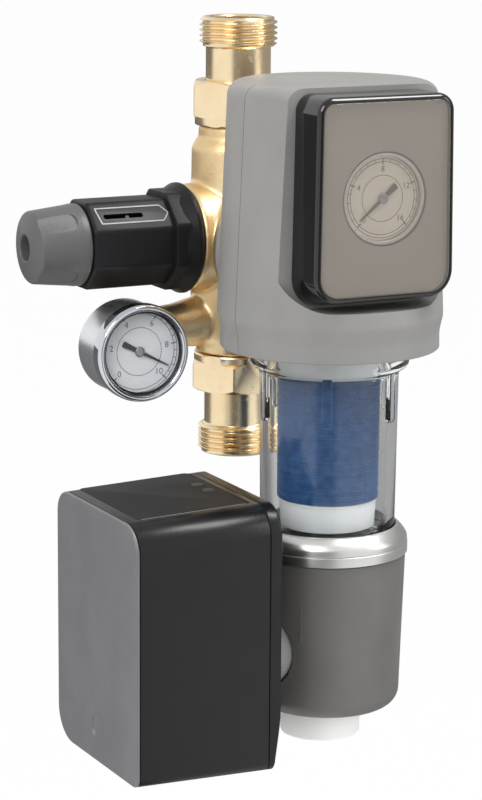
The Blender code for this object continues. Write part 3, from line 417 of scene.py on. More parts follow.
def turning_effect():
    """Fine rings that a lathe tool leaves, as height."""
    tree, given, out = effect("turning_marks", {"Place": (0, 0, 0), "Rings": 5200}, {"Height": "Float"})
    rings = add(tree, "TexWave", {
        "Vector": given["Place"], "Scale": given["Rings"], "Distortion": 1.5, "Detail": 2.0},
        bands_direction="Z").outputs["Fac"]
    feed(tree, out, {"Height": maths(tree, "MULTIPLY", rings, noise(tree, given["Place"], 90.0))})
    return tree


def scratch_effect():
    """Hair-fine handling scratches as a mask."""
    tree, given, out = effect("scratches", {"Place": (0, 0, 0), "Amount": 0.5}, {"Mask": "Float"})
    stretch = add(tree, "Mapping", {
        "Vector": given["Place"], "Rotation": (0.4, 0.9, 0.3), "Scale": (1, 26, 3)})
    thin = spread(tree, noise(tree, stretch.outputs["Vector"], 160.0), 0.66, 0.72)
    feed(tree, out, {"Mask": maths(tree, "MULTIPLY", thin, given["Amount"])})
    return tree


SKIN = skin_effect()
WEAR = wear_effect()
CASTING = casting_effect()
TURNING = turning_effect()
SCRATCHES = scratch_effect()
FINISHES = {}


def finish(name, colour, second, rough, grain, bump, depth=0.03, rubbed=None, wear=0.0, scratches=0.0,
           turning=0.0, casting=0.0, drift=45.0, clear=0.0, **own):
    """Surface finish; rough gives the smoothest and roughest patches, depth
    is the grain's in millimetres, clear is the share of lamp light that it
    lets through, and own are the shader's own sockets."""
    material = bpy.data.materials.new(name)
    material.use_nodes = True
    tree = material.node_tree
    spot = add(tree, "TexCoord").outputs["Object"]

    def work(group, values):
        return add(tree, "Group", {"Place": spot, **values}, node_tree=group).outputs

    skin = work(SKIN, {
        "Grain": grain, "Drift": drift, "Colour": linear(colour), "Second Colour": linear(second),
        "Smoothest": rough[0], "Roughest": rough[1]})
    shade, roughness, height = skin["Colour"], skin["Roughness"], skin["Height"]
    if wear:
        shade = work(WEAR, {"Colour": shade, "Rubbed Colour": linear(rubbed), "Amount": wear})["Colour"]
    if scratches:
        roughness = maths(tree, "ADD", roughness, work(SCRATCHES, {"Amount": scratches})["Mask"])
    if casting:
        height = work(CASTING, {"Lumps": casting})["Height"]
    if turning:
        height = maths(tree, "ADD", height, work(TURNING, {"Rings": turning})["Height"])
    relief = add(tree, "Bump", {"Height": height, "Strength": bump, "Distance": depth * MM})
    looks = {"Base Color": shade, "Roughness": roughness, "Normal": relief.outputs["Normal"]}
    if clear:
        shadow = add(tree, "LightPath").outputs["Is Shadow Ray"]
        looks["Alpha"] = spread(tree, shadow, 0.0, 1.0, 1.0, 1.0 - clear)
    for key, value in own.items():
        looks[key.replace("_", " ").title().replace("Ior", "IOR")] = value
    feed(tree, tree.nodes["Principled BSDF"].inputs, looks)
    FINISHES[name] = material


finish("turned_brass", (252, 233, 198), (247, 221, 176), (0.2, 0.28), 900, 0.2, 0.015,
       rubbed=(252, 236, 200), wear=0.5, scratches=0.12, turning=1400.0, metallic=1.0)
finish("cast_brass", (247, 224, 180), (230, 200, 152), (0.34, 0.48), 700, 0.7, 0.22,
       rubbed=(250, 232, 204), wear=0.8, casting=420.0, metallic=1.0)
finish("rubber", (30, 30, 32), (42, 42, 44), (0.6, 0.8), 3000, 0.2)
finish("steel", (188, 190, 194), (168, 170, 176), (0.22, 0.36), 1600, 0.2, 0.02, scratches=0.15,
       metallic=1.0)
finish("bonnet_black", (26, 27, 29), (30, 31, 33), (0.36, 0.46), 4200, 0.35, 0.04, rubbed=(120, 120, 122),
       wear=0.35, specular_ior_level=0.2)
finish("window_black", (30, 31, 33), (36, 37, 39), (0.34, 0.44), 4200, 0.25, specular_ior_level=0.3)
finish("knob_grey", (88, 88, 89), (94, 94, 95), (0.36, 0.48), 4200, 0.3, 0.04, rubbed=(130, 130, 132),
       wear=0.12, scratches=0.1)
finish("head_grey", (146, 145, 143), (140, 139, 137), (0.34, 0.44), 3600, 0.25, rubbed=(180, 180, 178),
       wear=0.1)
finish("head_grey_rear", (148, 146, 143), (142, 140, 137), (0.36, 0.46), 3600, 0.25,
       rubbed=(180, 180, 178), wear=0.1)
finish("core_dark", (64, 66, 69), (56, 58, 61), (0.45, 0.6), 3000, 0.25, 0.04)
finish("frame_gloss", (9, 9, 10), (12, 12, 13), (0.05, 0.1), 500, 0.02, 0.01, scratches=0.06,
       coat_weight=0.4, coat_roughness=0.04)
finish("smoked_panel", (152, 145, 137), (150, 143, 134), (0.05, 0.1), 500, 0.015, 0.01, scratches=0.05,
       alpha=0.3)
finish("panel_backing", (158, 151, 142), (155, 148, 139), (0.4, 0.5), 3000, 0.05, 0.02)
finish("chrome", (216, 219, 224), (206, 209, 215), (0.05, 0.1), 700, 0.03, 0.01, scratches=0.08,
       metallic=1.0)
finish("satin_chrome", (236, 238, 240), (228, 230, 233), (0.24, 0.34), 900, 0.06, 0.01, scratches=0.08,
       metallic=1.0)
finish("gauge_glass", (254, 254, 254), (252, 253, 253), (0.0, 0.02), 300, 0.01, 0.01, clear=0.9,
       transmission_weight=1.0, ior=1.35)
finish("dial_white", (246, 247, 250), (240, 242, 246), (0.5, 0.62), 4000, 0.05, 0.02)
finish("dial_beige", (242, 232, 216), (237, 226, 208), (0.5, 0.62), 4000, 0.05, 0.02)
finish("dial_ink", (96, 104, 124), (84, 92, 112), (0.5, 0.6), 4000, 0.05, 0.01)
finish("dark_ink", (52, 46, 42), (62, 56, 50), (0.5, 0.6), 4000, 0.05, 0.01)
finish("needle_black", (20, 20, 22), (26, 26, 28), (0.35, 0.5), 3000, 0.1, 0.02)
finish("hub_grey", (150, 152, 156), (140, 142, 146), (0.25, 0.35), 2000, 0.1, 0.02, metallic=0.6)
finish("clear_plastic", (253, 254, 254), (251, 253, 253), (0.01, 0.04), 260, 0.015, 0.02, clear=0.85,
       transmission_weight=1.0, ior=1.38)
finish("disc_blue", (30, 66, 112), (52, 92, 140), (0.3, 0.5), 2400, 0.06, 0.02, drift=300.0)
finish("frosted_cap", (246, 248, 249), (238, 241, 243), (0.32, 0.5), 1400, 0.2, 0.04,
       transmission_weight=0.15, ior=1.45)
finish("spine_white", (240, 241, 241), (234, 235, 235), (0.4, 0.52), 3000, 0.15)
finish("satin_metal", (232, 232, 229), (222, 222, 220), (0.26, 0.36), 1200, 0.12, 0.02, scratches=0.12,
       turning=1100.0, metallic=1.0)
finish("drain_grey", (107, 105, 102), (101, 99, 96), (0.36, 0.48), 3600, 0.3, 0.04, rubbed=(150, 148, 145),
       wear=0.3)
finish("spout_white", (252, 252, 251), (248, 248, 247), (0.36, 0.48), 3200, 0.2)
finish("collar_grey", (156, 156, 156), (148, 148, 149), (0.38, 0.5), 3400, 0.25, 0.04,
       rubbed=(190, 190, 190), wear=0.3)
finish("ptfe", (236, 236, 234), (228, 228, 227), (0.35, 0.5), 2600, 0.1, 0.02)
finish("box_black", (16, 16, 18), (20, 20, 22), (0.26, 0.32), 3900, 0.2, specular_ior_level=0.38)
# The battery cover is the box's black plastic given a lighter grey: painted sheen of the light on its left
# face
finish("box_lid_painted_sheen", (116, 116, 119), (108, 108, 111), (0.34, 0.44), 3900, 0.2)
finish("key_dark", (38, 38, 40), (44, 44, 46), (0.46, 0.56), 5200, 0.3, specular_ior_level=0.15)
finish("key_grey", (58, 58, 60), (64, 64, 66), (0.4, 0.5), 5200, 0.4)
# Pale strips that stand for light caught on edges: painted highlights
finish("painted_edge_highlight", (176, 178, 180), (166, 168, 170), (0.45, 0.55), 4000, 0.05, 0.01)
finish("spindle_dark", (44, 45, 47), (38, 39, 41), (0.3, 0.42), 1600, 0.2, 0.02, metallic=0.8)
finish("board_green", (24, 92, 52), (20, 80, 46), (0.35, 0.5), 1600, 0.2, drift=420.0)
finish("gear_acetal", (232, 230, 222), (224, 222, 212), (0.35, 0.48), 2600, 0.15)
finish("cell_wrap", (60, 62, 66), (52, 54, 58), (0.2, 0.32), 900, 0.08, 0.02)


def arc_points(cx, cy, radius, first, last, steps):
    """Points of an arc, angles in degrees, for an outline."""
    angles = [math.radians(first + (last - first) * i / steps) for i in range(steps + 1)]
    return [(cx + radius * math.cos(a), cy + radius * math.sin(a)) for a in angles]


# Pipe line

def thread_ridge(start, end):
    """Helical ridge between two heights, run out at both ends."""
    low, high = min(start, end), max(start, end)
    bm = bmesh.new()
    shape = ((THREAD_ROOT_R - 0.5, -0.86), (THREAD_ROOT_R + 0.05, -0.84), (THREAD_R - 0.22, -0.26),
             (THREAD_R, -0.08), (THREAD_R, 0.08), (THREAD_R - 0.22, 0.26), (THREAD_ROOT_R + 0.05, 0.84),
             (THREAD_ROOT_R - 0.5, 0.86))
    spots = [bm.verts.new((r, 0, low - THREAD_PITCH / 2 + z)) for r, z in shape]
    face = bm.faces.new(spots)
    steps = 64
    count = int((high - low + THREAD_PITCH) / THREAD_PITCH * steps)
    bmesh.ops.spin(bm, geom=spots + list(face.edges) + [face], cent=(0, 0, 0), axis=(0, 0, 1),
                   dvec=(0, 0, THREAD_PITCH / steps), angle=2 * math.pi * count / steps, steps=count,
                   use_merge=False)
    for vert in bm.verts:
        reach = Vector(vert.co[:2]).length
        height = max(low + 0.05, min(high - 0.15, vert.co.z))
        room = min(THREAD_R, THREAD_ROOT_R - 0.3 + 1.15 * min(height - low, high - height) + 0.1)
        if reach > room:
            vert.co.xy *= room / reach
        vert.co.z = height
    return made_object("thread_ridge", bm)


def pipe_tail(side, near, far):
    """Threaded tail of one end, with its neck, shoulder and bore."""
    way = 1 if far > near else -1
    shoulder = far - way * (NUT_END + GAP)
    foot = shoulder - way * 3.4
    end = way * PIPE_HALF
    start = end - way * THREAD_LENGTH
    tail = lathe(side + "_tail", [
        (PIPE_BORE_R, foot), (15.3, foot, 0.3), (15.3, shoulder), (NECK_R, shoulder),
        (NECK_R, start - way * 0.2, 0.5), (THREAD_ROOT_R - 0.5, start + way * 0.1),
        (THREAD_ROOT_R, start + way * 0.9), (THREAD_ROOT_R, end - way * 0.9),
        (THREAD_ROOT_R - 0.55, end, 0.15), (PIPE_BORE_R + 0.8, end, 0.2), (PIPE_BORE_R, end - way * 0.8)])
    join(tail, thread_ridge(start, end))
    ready(tail, "base", "brass", "turned_brass", side + "_union_tail")


def union_nut(side, near, far):
    """Hexagon nut with a chamfer on both ends and a step under the flats."""
    way = 1 if far > near else -1
    nut = slab(side + "_nut", many_sided(6, NUT_FLATS, 0.5), min(near, far), max(near, far))
    crown = lathe("crown", [
        (0, near), (18.2, near), (18.6, near + way * 0.6), (18.6, near + way * 3.2),
        (20.9, near + way * 4.4), (20.9, far - way * 1.9), (18.3, far - way * 0.15), (17.8, far), (0, far)])
    combine(nut, [crown], "INTERSECT")
    shoulder = far - way * NUT_END
    cut(nut, rod(15.75, near - way * 5, shoulder, steps=ROUND),
        rod(NECK_R + GAP, shoulder - way, far + way * 5, steps=ROUND))
    ready(soft_edges(nut, 0.25), "base", "brass", "turned_brass", side + "_union_nut")


def cast_body():
    """Casting with the regulator seat, the neck to the round flange and the
    arm of the outlet gauge, its inner corners filled as a casting's are."""
    arm = lathe("arm", [(0, 0), (11.6, 0), (10.6, -22), (9.4, -30), (9.2, -60), (0, -60)],
                "X", (0, 0, ARM_Z), SMALL_ROUND)
    shells = [
        lathe("barrel", [
            (0, -50.5), (15.45, -50.5), (15.45, -49.7), (17.6, -49.7), (17.6, -46.8), (19.7, -43.2),
            (20.3, -8), (19.7, 38.5), (18.1, 41.6), (16.8, 43), (16.8, 48), (15.45, 48), (15.45, 48.8),
            (0, 48.8)]),
        lathe("boss", [(0, 2), (21.6, 2), (21.6, -13), (22.8, -14.5), (22.8, -25), (21.6, -26.2),
            (0, -26.2)], "X", REG_AXIS),
        lathe("neck", [(0, 4), (21.5, 4), (22.0, -30), (22.4, -37.6), (23, -40), (0, -40)], "Y", REG_AXIS),
        spun(arm, -ARM_SLOPE, "Y", (0, 0, ARM_Z)),
        lathe("elbow", [(0, 9.8)] + arc_points(0, 0, 9.8, 75, 0, 12) + [(9.8, -8.4), (9.2, -9), (0, -9)],
              "Y", (GAUGE_X, 0, GAUGE_Z), SMALL_ROUND),
    ]
    body = gather("cast_body", shells)
    skin = body.modifiers.new("Remesh", "REMESH")
    skin.mode = "VOXEL"
    skin.voxel_size = 0.8 * MM
    bake(body)
    fillets = body.modifiers.new("Smooth", "SMOOTH")
    fillets.factor = 0.6
    fillets.iterations = 10
    bake(body)
    join(body, lathe("flange", [
        (0, -36), (23, -36), (23, -38.2), (30.2, -38.2, 0.3), (31, -39, 0.3), (31, -43.4, 0.3),
        (30.4, -44), (0, -44)], "Y", REG_AXIS))
    cut(body, rod(PIPE_BORE_R, 14, 60, steps=ROUND), rod(PIPE_BORE_R, -60, -12, steps=ROUND),
        rod(9, -60, 0.6, "Y", REG_AXIS), rod(15, -40, -11, "X", REG_AXIS))
    ready(body, "base", "brass", "cast_brass", "connection_body", angle=40)


# Regulator

def window_outline(grow):
    """Arrow-shaped scale window, grown by a margin."""
    return [(-71.4 - grow, 4.4 + grow, 0.5), (-70.2 - grow, -3.6 - grow, 0.5), (-42.0, -3.6 - grow, 0.4),
            (-38.9 + grow, 0.4, 0.6), (-42.0, 4.4 + grow, 0.4)]


def octagon(flats):
    return many_sided(8, flats, 1.25, 22.5, REG_Z)


def regulator_bonnet():
    """Bonnet with its scale window, and a light line round the window that is a painted highlight of its
    edge.
    """
    bonnet = slab("bonnet", octagon(BONNET_FLATS), BONNET_END_X, -36, "X", ease_low=1.2)
    join(bonnet, slab("shoulder", octagon(COLLAR_FLATS), -38.2, -31, "X", ease_low=0.5), lathe("flange", [
        (0, -26.5), (22.6, -26.5, 0.3), (23.6, -27.4, 0.5), (23.6, -28.8, 0.5), (20.9, -33.4), (0, -33.4)],
        "X", REG_AXIS))
    facet = REG_Z + BONNET_FLATS / 2
    pocket = slab("pocket", window_outline(0.3), facet - 1.2, facet + 5)
    slot = slab("slot", rectangle(-69.6, -49.6, -1.3, 1.3, 1.2), facet - 8, facet + 5)
    for piece in (pocket, slot):
        spun(piece, FACET_TURN, "X", REG_AXIS)
    cut(bonnet, rod(13.6, -73, -20, "X", REG_AXIS, ROUND), rod(3.5, -80, -70, "X", REG_AXIS), pocket, slot)
    ready(soft_edges(bonnet, 0.2), "base", "bonnet_plastic", "bonnet_black", "regulator_bonnet")

    window = slab("window", window_outline(0.0), facet - 0.9, facet - 0.1, ease_high=0.25)
    cut(window, slab("sight", rectangle(-68.6, -50.6, -1.2, 1.2, 1.1), facet - 3, facet + 3))
    spun(window, FACET_TURN, "X", REG_AXIS)
    ready(window, "base", "window_plastic", "window_black", "regulator_window")
    # Painted highlight: a pale line round the window where the pocket's edge catches the light
    line = slab("window_edge_painted_highlight", window_outline(0.28), facet - 0.12, facet + 0.03)
    cut(line, slab("inside", window_outline(-0.3), facet - 3, facet + 3))
    ready(spun(line, FACET_TURN, "X", REG_AXIS), "base", "spine_white", "painted_edge_highlight")


def regulator_knob():
    """Knob with four flats that lean inwards towards its tip."""
    flat_z = REG_Z + KNOB_FLAT_R
    knob = lathe("knob", [
        (0, -93), (5.3, -93, 0.3), (5.3, KNOB_TIP_X + 0.5, 0.3), (5.9, KNOB_TIP_X, 0.2),
        (14.7, KNOB_TIP_X + 2.3, 0.4), (15.3, KNOB_TIP_X + 3.1, 0.4), (16.9, -80.4, 0.6), (17.3, -78, 0.4),
        (17.3, KNOB_END_X - 0.6, 0.3), (16.7, KNOB_END_X, 0.2), (0, KNOB_END_X)], "X", REG_AXIS)
    cutters = [rod(3.25, -95, -70, "X", REG_AXIS)]
    for k in range(4):
        flat = slab("flat", rectangle(-110, -80, -4.4, 4.4, 3.6), flat_z, REG_Z + 30)
        spun(flat, -KNOB_LEAN, "Y", (-81.5, 0, flat_z))
        cutters.append(spun(flat, FACET_TURN + 90 * k, "X", REG_AXIS))
    cut(knob, *cutters)
    ready(soft_edges(knob, 0.25, 25), "knob", "knob_plastic", "knob_grey", "regulator_knob")


# Gauges

def dial_number(word, size, x, y, z):
    """Plain number lying on a dial that faces the viewer."""
    curve = bpy.data.curves.new("number", "FONT")
    curve.body = word
    curve.size = size
    curve.align_x = curve.align_y = "CENTER"
    curve.extrude = 0.02
    curve.resolution_u = 3
    text = in_scene("number", curve)
    bpy.context.view_layer.update()
    mesh = bpy.data.meshes.new_from_object(text.evaluated_get(bpy.context.evaluated_depsgraph_get()))
    bpy.data.objects.remove(text)
    upright = Matrix.Rotation(math.radians(90), 4, "X")
    mesh.transform(Matrix.Scale(MM, 4) @ Matrix.Translation((x, y, z)) @ upright)
    return in_scene("number", mesh)


def dial_print(name, x, z, level, radius, ink, numbers):
    """Scale marks, rings and plain numbers over three quarters of a turn."""
    marks = []
    count = (len(numbers) - 1) * 5
    for k in range(count + 1):
        angle = 225 - 270 * k / count
        long = k % 5 == 0
        inner = radius * (0.8 if long else 0.86)
        width = 0.22 if long else 0.12
        mark = slab("mark", rectangle(x + inner, x + radius * 0.93, z - width, z + width),
                    level - 0.06, level + 0.02, "Y")
        marks.append(spun(mark, -angle, "Y", (x, 0, z)))
    for k, number in enumerate(numbers):
        angle = math.radians(225 - 270 * k / (len(numbers) - 1))
        reach = radius * 0.69
        marks.append(dial_number(number, radius * 0.2, x + reach * math.cos(angle), level - 0.03,
                                 z + reach * math.sin(angle)))
    for share in (0.54, 0.855, 0.93):
        inner, outer = radius * share, radius * (share + 0.013)
        marks.append(lathe("scale_ring", rectangle(inner, outer, level - 0.05, level + 0.02), "Y",
                           (x, 0, z), 96))
    ready(gather(name, marks), "base", "needle_black", ink)


def gauge_needle(name, x, z, level, radius, angle, side):
    """Blade with a wide tail, and a grey hub on it."""
    length, tail = radius * 0.8, radius * 0.46
    blade = slab(name, [(x - tail, z - 1.35, 0.7), (x - 2, z - 0.9), (x + length, z - 0.22, 0.1),
                        (x + length, z + 0.22, 0.1), (x - 2, z + 0.9), (x - tail, z + 1.35, 0.7)],
                 level - 0.9, level - 0.4, "Y", ease_low=0.12)
    spun(blade, angle, "Y", (x, 0, z))
    join(blade, rod(0.95, level - 0.8, level + 5.5, "Y", (x, 0, z)))
    ready(blade, side + "_needle", "needle_black", "needle_black", side + "_gauge_needle")
    hub = lathe(name + "_hub", [
        (0, level - 1.3), (1.6, level - 1.3, 0.2), (2.1, level - 0.95, 0.1), (2.1, level - 0.35),
        (1.2, level - 0.35), (1.2, level - 0.95), (0, level - 0.95)], "Y", (x, 0, z), SMALL_ROUND)
    ready(hub, side + "_needle", "chrome", "hub_grey")


def gauge(prefix, side, x, z, rim, rear, radius, case_slot, case_look, dial, ink, numbers, angle):
    """Case, dial with its print, and needle; side is the gauge's place in
    the water's way, which names its nodes."""
    place = (x, 0, z)
    inner = radius - GAUGE_WALL
    seat = rim + DIAL_DEPTH
    level = seat - DIAL_THICK
    case = lathe(prefix + "_case", [
        (0, rear), (radius - 1.2, rear, 0.8), (radius, rear - 1.2, 0.5), (radius, rim, 0.25),
        (inner, rim, 0.25), (inner, seat), (inner - 1.7, seat), (inner - 1.7, rear - 2.4),
        (3.2, rear - 2.4), (3.2, seat + 3), (1.3, seat + 3), (1.3, seat + 9), (0, seat + 9)], "Y", place)
    ready(case, "base", case_slot, case_look, side + "_gauge_case")
    plate = lathe(prefix + "_dial", [
        (1.35, level), (inner - 0.3, level, 0.1), (inner - 0.3, seat - GAP), (1.35, seat - GAP)],
        "Y", place)
    ready(plate, "base", dial, dial, side + "_gauge_dial")
    dial_print(prefix + "_dial_print", x, z, level, inner, ink, numbers)
    gauge_needle(prefix + "_needle", x, z, level, inner, angle, side)


def outlet_gauge():
    """Gauge on the brass arm, with its bezel, lens, and an inner band that is a seal ring kept dark as a
    painted reflection of the bezel.
    """
    face = GAUGE_FACE_Y
    centre = (GAUGE_X, 0, GAUGE_Z)
    gauge("gauge", "outlet", GAUGE_X, GAUGE_Z, face + 4.5, GAUGE_REAR_Y, GAUGE_R - 0.9, "chrome",
          "satin_chrome", "dial_white", "dial_ink", ["0", "2", "4", "6", "8", "10"], OUTLET_NEEDLE_ANGLE)
    bezel = lathe("gauge_bezel", [
        (17.4, face + 1.3, 0.1), (18.2, face, 0.7), (19.5, face, 0.55), (GAUGE_R, face + 1.5, 0.9),
        (GAUGE_R, face + 6.5, 0.2), (GAUGE_R - 0.6, face + 6.5), (GAUGE_R - 0.6, face + 2.5),
        (17.4, face + 2.5)], "Y", centre)
    ready(bezel, "base", "chrome", "chrome", "outlet_gauge_bezel")
    # Dark seal ring between lens and bezel, dark to stand for the bezel's dark reflections: painted
    # reflection
    band = lathe("gauge_seal_painted_reflection", [
        (16.6, face + 2.2, 0.1), (17.35, face + 1.6, 0.1), (17.35, face + 2.75), (16.6, face + 2.75)],
        "Y", centre)
    ready(band, "base", "needle_black", "needle_black")
    lens = lathe("gauge_lens", [
        (0, face + 2.8), (19.4, face + 2.8, 0.3), (19.4, face + 4.2, 0.3), (0, face + 4.2)], "Y", centre)
    ready(lens, "base", "gauge_lens", "gauge_glass", "outlet_gauge_lens")


def inlet_gauge():
    """Gauge behind the smoked panel."""
    gauge("inlet", "inlet", 0, INLET_GAUGE_Z, INLET_RIM_Y, INLET_REAR_Y, INLET_GAUGE_R, "steel",
          "satin_metal", "dial_beige", "dark_ink", ["0", "4", "8", "12", "16"], INLET_NEEDLE_ANGLE)


# Head and display

def head_turned(name, inset=0.0, low=HEAD_LOW):
    """Turned form of the head; an inset gives the room inside it."""
    return lathe(name, [
        (0, HEAD_TOP - inset), (42.0 - inset, HEAD_TOP - inset, 5.5 - inset / 2),
        (45.9 - inset, -19.5, 1.2), (44.9 - inset, -24.0, 1.2), (44.5 - inset, -26.5, 1.0),
        (44.6 - inset, low, 0 if inset else 0.6), (0, low)], centre=FILTER_AXIS, corner_steps=8)


def recess_block(grow):
    """Space of the flat recess that the display sits in."""
    half = 38 + grow
    low = -12.6 - grow
    return slab("recess", [(-half, low, 17), (half, low, 17), (half, 90), (-half, 90)], -150,
                RECESS_Y + grow, "Y", steps=16)


def gauge_hole(room, front, rear):
    return rod(INLET_GAUGE_R + room, front, rear, "Y", (0, 0, INLET_GAUGE_Z), ROUND)


def block(x0, x1, y0, y1, z0, z1):
    return slab("block", rectangle(x0, x1, y0, y1), z0, z1)


def head_slice(y0, y1):
    """Everything of the head between two depths."""
    return block(-60, 60, y0, y1, -60, 90)


def head_covers():
    """Front and rear cover, which meet at the seam."""
    front = head_turned("head_front")
    cut(front, recess_block(0.0), head_slice(SEAM_Y - GAP / 2, 0))
    room = head_turned("room", HEAD_WALL, HEAD_LOW - 10)
    cut(room, recess_block(HEAD_WALL))
    cut(front, room, gauge_hole(0.9, -120, -100))
    ready(soft_edges(front, 0.35), "base", "head_plastic", "head_grey", "head_front_cover")

    rear = head_turned("head_rear")
    join(rear, lathe("collar", [(0, -80), (31.6, -80), (32.3, -50), (32.3, -30), (0, -30)], "Y", REG_AXIS))
    cut(rear, head_slice(-150, SEAM_Y + GAP / 2), head_slice(REAR_Y, 20))
    room = head_turned("room", HEAD_WALL, HEAD_LOW - 10)
    cut(room, head_slice(REAR_Y - HEAD_WALL, 20))
    cut(rear, room, rod(30.5, -90, -40, "Y", REG_AXIS, ROUND))
    ready(soft_edges(rear, 0.35), "base", "head_plastic", "head_grey_rear", "head_rear_cover")


def display_outline(inset):
    """Display frame from the front, slightly narrower at the top."""
    top, bottom = 30.2 - inset, 31.1 - inset
    return [(-bottom, FRAME_LOW + inset, 11 - inset), (bottom, FRAME_LOW + inset, 11 - inset),
            (top, FRAME_HIGH - inset, 7 - inset), (-top, FRAME_HIGH - inset, 7 - inset)]


def frame_flare(x, y, z):
    """The frame's underside drops and widens towards the rear."""
    share = max(0.0, min(1.0, (FLARE_TOP - z) / 26)) * max(0.0, (y + 125) / 15.2)
    return x * (1 + 0.02 * share), y, z - FLARE_DROP * share


def display():
    """Frame, the card behind the smoked panel, and the panel."""
    front = FRAME_FRONT_Y
    rim = slab("display_rim", display_outline(0), front, RECESS_Y - GAP, "Y", ease_low=2.6, steps=16,
               rim_steps=8)
    reshape(rim, frame_flare)
    cut(rim, slab("panel_room", display_outline(2.0), front - 3, front + 2.2, "Y", steps=16),
        slab("inside", display_outline(3.4), front + 3.6, RECESS_Y + 3, "Y", steps=16),
        gauge_hole(0.7, front, RECESS_Y))
    ready(rim, "base", "frame_gloss", "frame_gloss", "display_frame")
    card = slab("panel_backing", display_outline(2.6), front + 1.95, front + 2.15, "Y", steps=16)
    cut(card, gauge_hole(0.7, front, RECESS_Y))
    ready(card, "base", "dial_beige", "panel_backing")
    panel = slab("panel", display_outline(2.3), front - 0.3, front + 1.9, "Y", ease_low=0.7, steps=16,
                 rim_steps=4)
    ready(panel, "base", "smoked_panel", "smoked_panel", "display_panel")


# Filter and bowl

def spine():
    """Middle tube with its plate over the discs, and three wings that carry
    them."""
    tube = lathe("spine", [
        (5.6, -36.8), (18.4, -36.8), (18.4, -41.9), (20.4, -41.9, 0.2), (20.4, -34.4, 0.6),
        (19.4, -33.4, 0.4), (7.7, -33.4), (7.7, -4, 0.4), (5.6, -4)], centre=FILTER_AXIS)
    parts = [rod(3.0, -110.9, -34, centre=FILTER_AXIS)]
    for k in range(3):
        wing = block(-13.2, 13.2, AXIS_Y - 0.9, AXIS_Y + 0.9, -95, -35)
        parts.append(spun(wing, 60 * k + 15, "Z", FILTER_AXIS))
    ready(join(tube, *parts), "base", "spine_white", "spine_white", "filter_spine")


def discs():
    """Pressed stack of thin discs, each rim out by a hair's breadth of its
    own."""
    pitch = (STACK_TOP - STACK_BOTTOM) / DISC_COUNT
    rims = []
    for k in range(DISC_COUNT):
        top = STACK_TOP - pitch * k
        reach = STACK_R - 0.4 * abs(math.sin(2.1 * k) * math.sin(0.7 * k + 1))
        rims += [(reach - 0.15, top - 0.04), (reach, top - 0.18), (reach, top - pitch + 0.16),
                 (reach - 0.15, top - pitch + 0.04), (STACK_R - 1.0, top - pitch + 0.02)]
    rims = rims[:-1] + [(STACK_R - 1.0, STACK_BOTTOM), (STACK_INNER_R, STACK_BOTTOM),
                        (STACK_INNER_R, STACK_TOP), (STACK_R - 1.0, STACK_TOP)]
    stack = lathe("discs", rims, centre=FILTER_AXIS, steps=96)
    ready(stack, "discs", "disc_blue", "disc_blue", "disc_stack", angle=30)


def pressing_cap():
    cap = lathe("cap", [
        (3.4, -95.9), (20.3, -95.9, 0.5), (20.0, -97.4, 0.4), (19.4, -108.4, 0.5), (17.6, -108.4, 0.5),
        (17.6, -98.6, 1.0), (3.4, -98.6)], centre=FILTER_AXIS)
    ready(cap, "pressing_cap", "frosted_cap", "frosted_cap", "compression_cap")


def clear_bowl():
    """Bowl with its collar and six ribs."""
    bowl = lathe("clear_bowl", [
        (6.4, -122.6), (7.6, -122.6), (7.6, -116.8), (30.2, -116.8, 0.4), (30.2, -112.8, 0.4),
        (27.7, -112.6, 0.6), (27.7, -107), (BOWL_R, -44, 0.8), (29.2, -42.2, 0.8), (31.6, -41.0, 0.8),
        (32.6, -39.4, 0.6), (32.6, -34.2, 0.3), (32.2, -33.7, 0.2), (30.4, -33.7), (30.4, -22.5, 0.4),
        (26.8, -22.5, 0.4), (25.6, -38, 2.0), (24.9, -106, 2.5), (21.5, -111.6, 2.5), (6.4, -113.6)],
        centre=FILTER_AXIS)
    ribs = []
    for k in range(6):
        outline = [(-2.2, -62, 2.1), (2.2, -62, 2.1), (1.9, -41.5), (-1.9, -41.5)]
        rib = slab("rib", outline, AXIS_Y - 30.3, AXIS_Y - 27, "Y", ease_low=0.5)
        ribs.append(spun(rib, 30 + 60 * k, "Z", FILTER_AXIS))
    join(bowl, *ribs)
    ready(bowl, "lower_unit", "clear_bowl", "clear_plastic", "bowl")


def ring_and_drain():
    """Satin ring under the bowl, and the drain housing with its parting
    line."""
    ring = lathe("ring", [
        (28.3, RING_TOP), (29.4, RING_TOP - 0.3, 0.2), (31.6, -109.6, 0.6), (32.9, -111.6, 0.6),
        (33.1, -113.9, 0.15), (32.6, -114.2, 0.1), (33.2, -114.5, 0.15), (33.2, RING_BOTTOM, 0.4),
        (31.0, RING_BOTTOM), (30.6, -112.3), (28.3, -112.3)], centre=FILTER_AXIS)
    ready(ring, "lower_unit", "satin_ring", "satin_metal", "bowl_ring")

    top = RING_BOTTOM - GAP
    low = DRAIN_BOTTOM
    housing = lathe("drain", [
        (29.8, top), (32.4, top, 0.4), (31.4, -150, 6), (30.4, low, 6.8), (14.0, low, 0.3),
        (14.0, low + 2.5), (23.2, low + 2.5, 3), (27.8, low + 7.2, 3), (28.9, -150)],
        centre=FILTER_AXIS, corner_steps=8)
    parting = slab("parting", rectangle(-0.22, 0.22, -31.98, -30), -150, top - 0.4)
    join(housing, spun(moved(parting, FILTER_AXIS), PARTING_ANGLE, "Z", FILTER_AXIS))
    cut(housing, rod(18.7, -60, -8, "X", VALVE_AXIS, ROUND))
    ready(housing, "lower_unit", "drain_plastic", "drain_grey", "drain_housing")


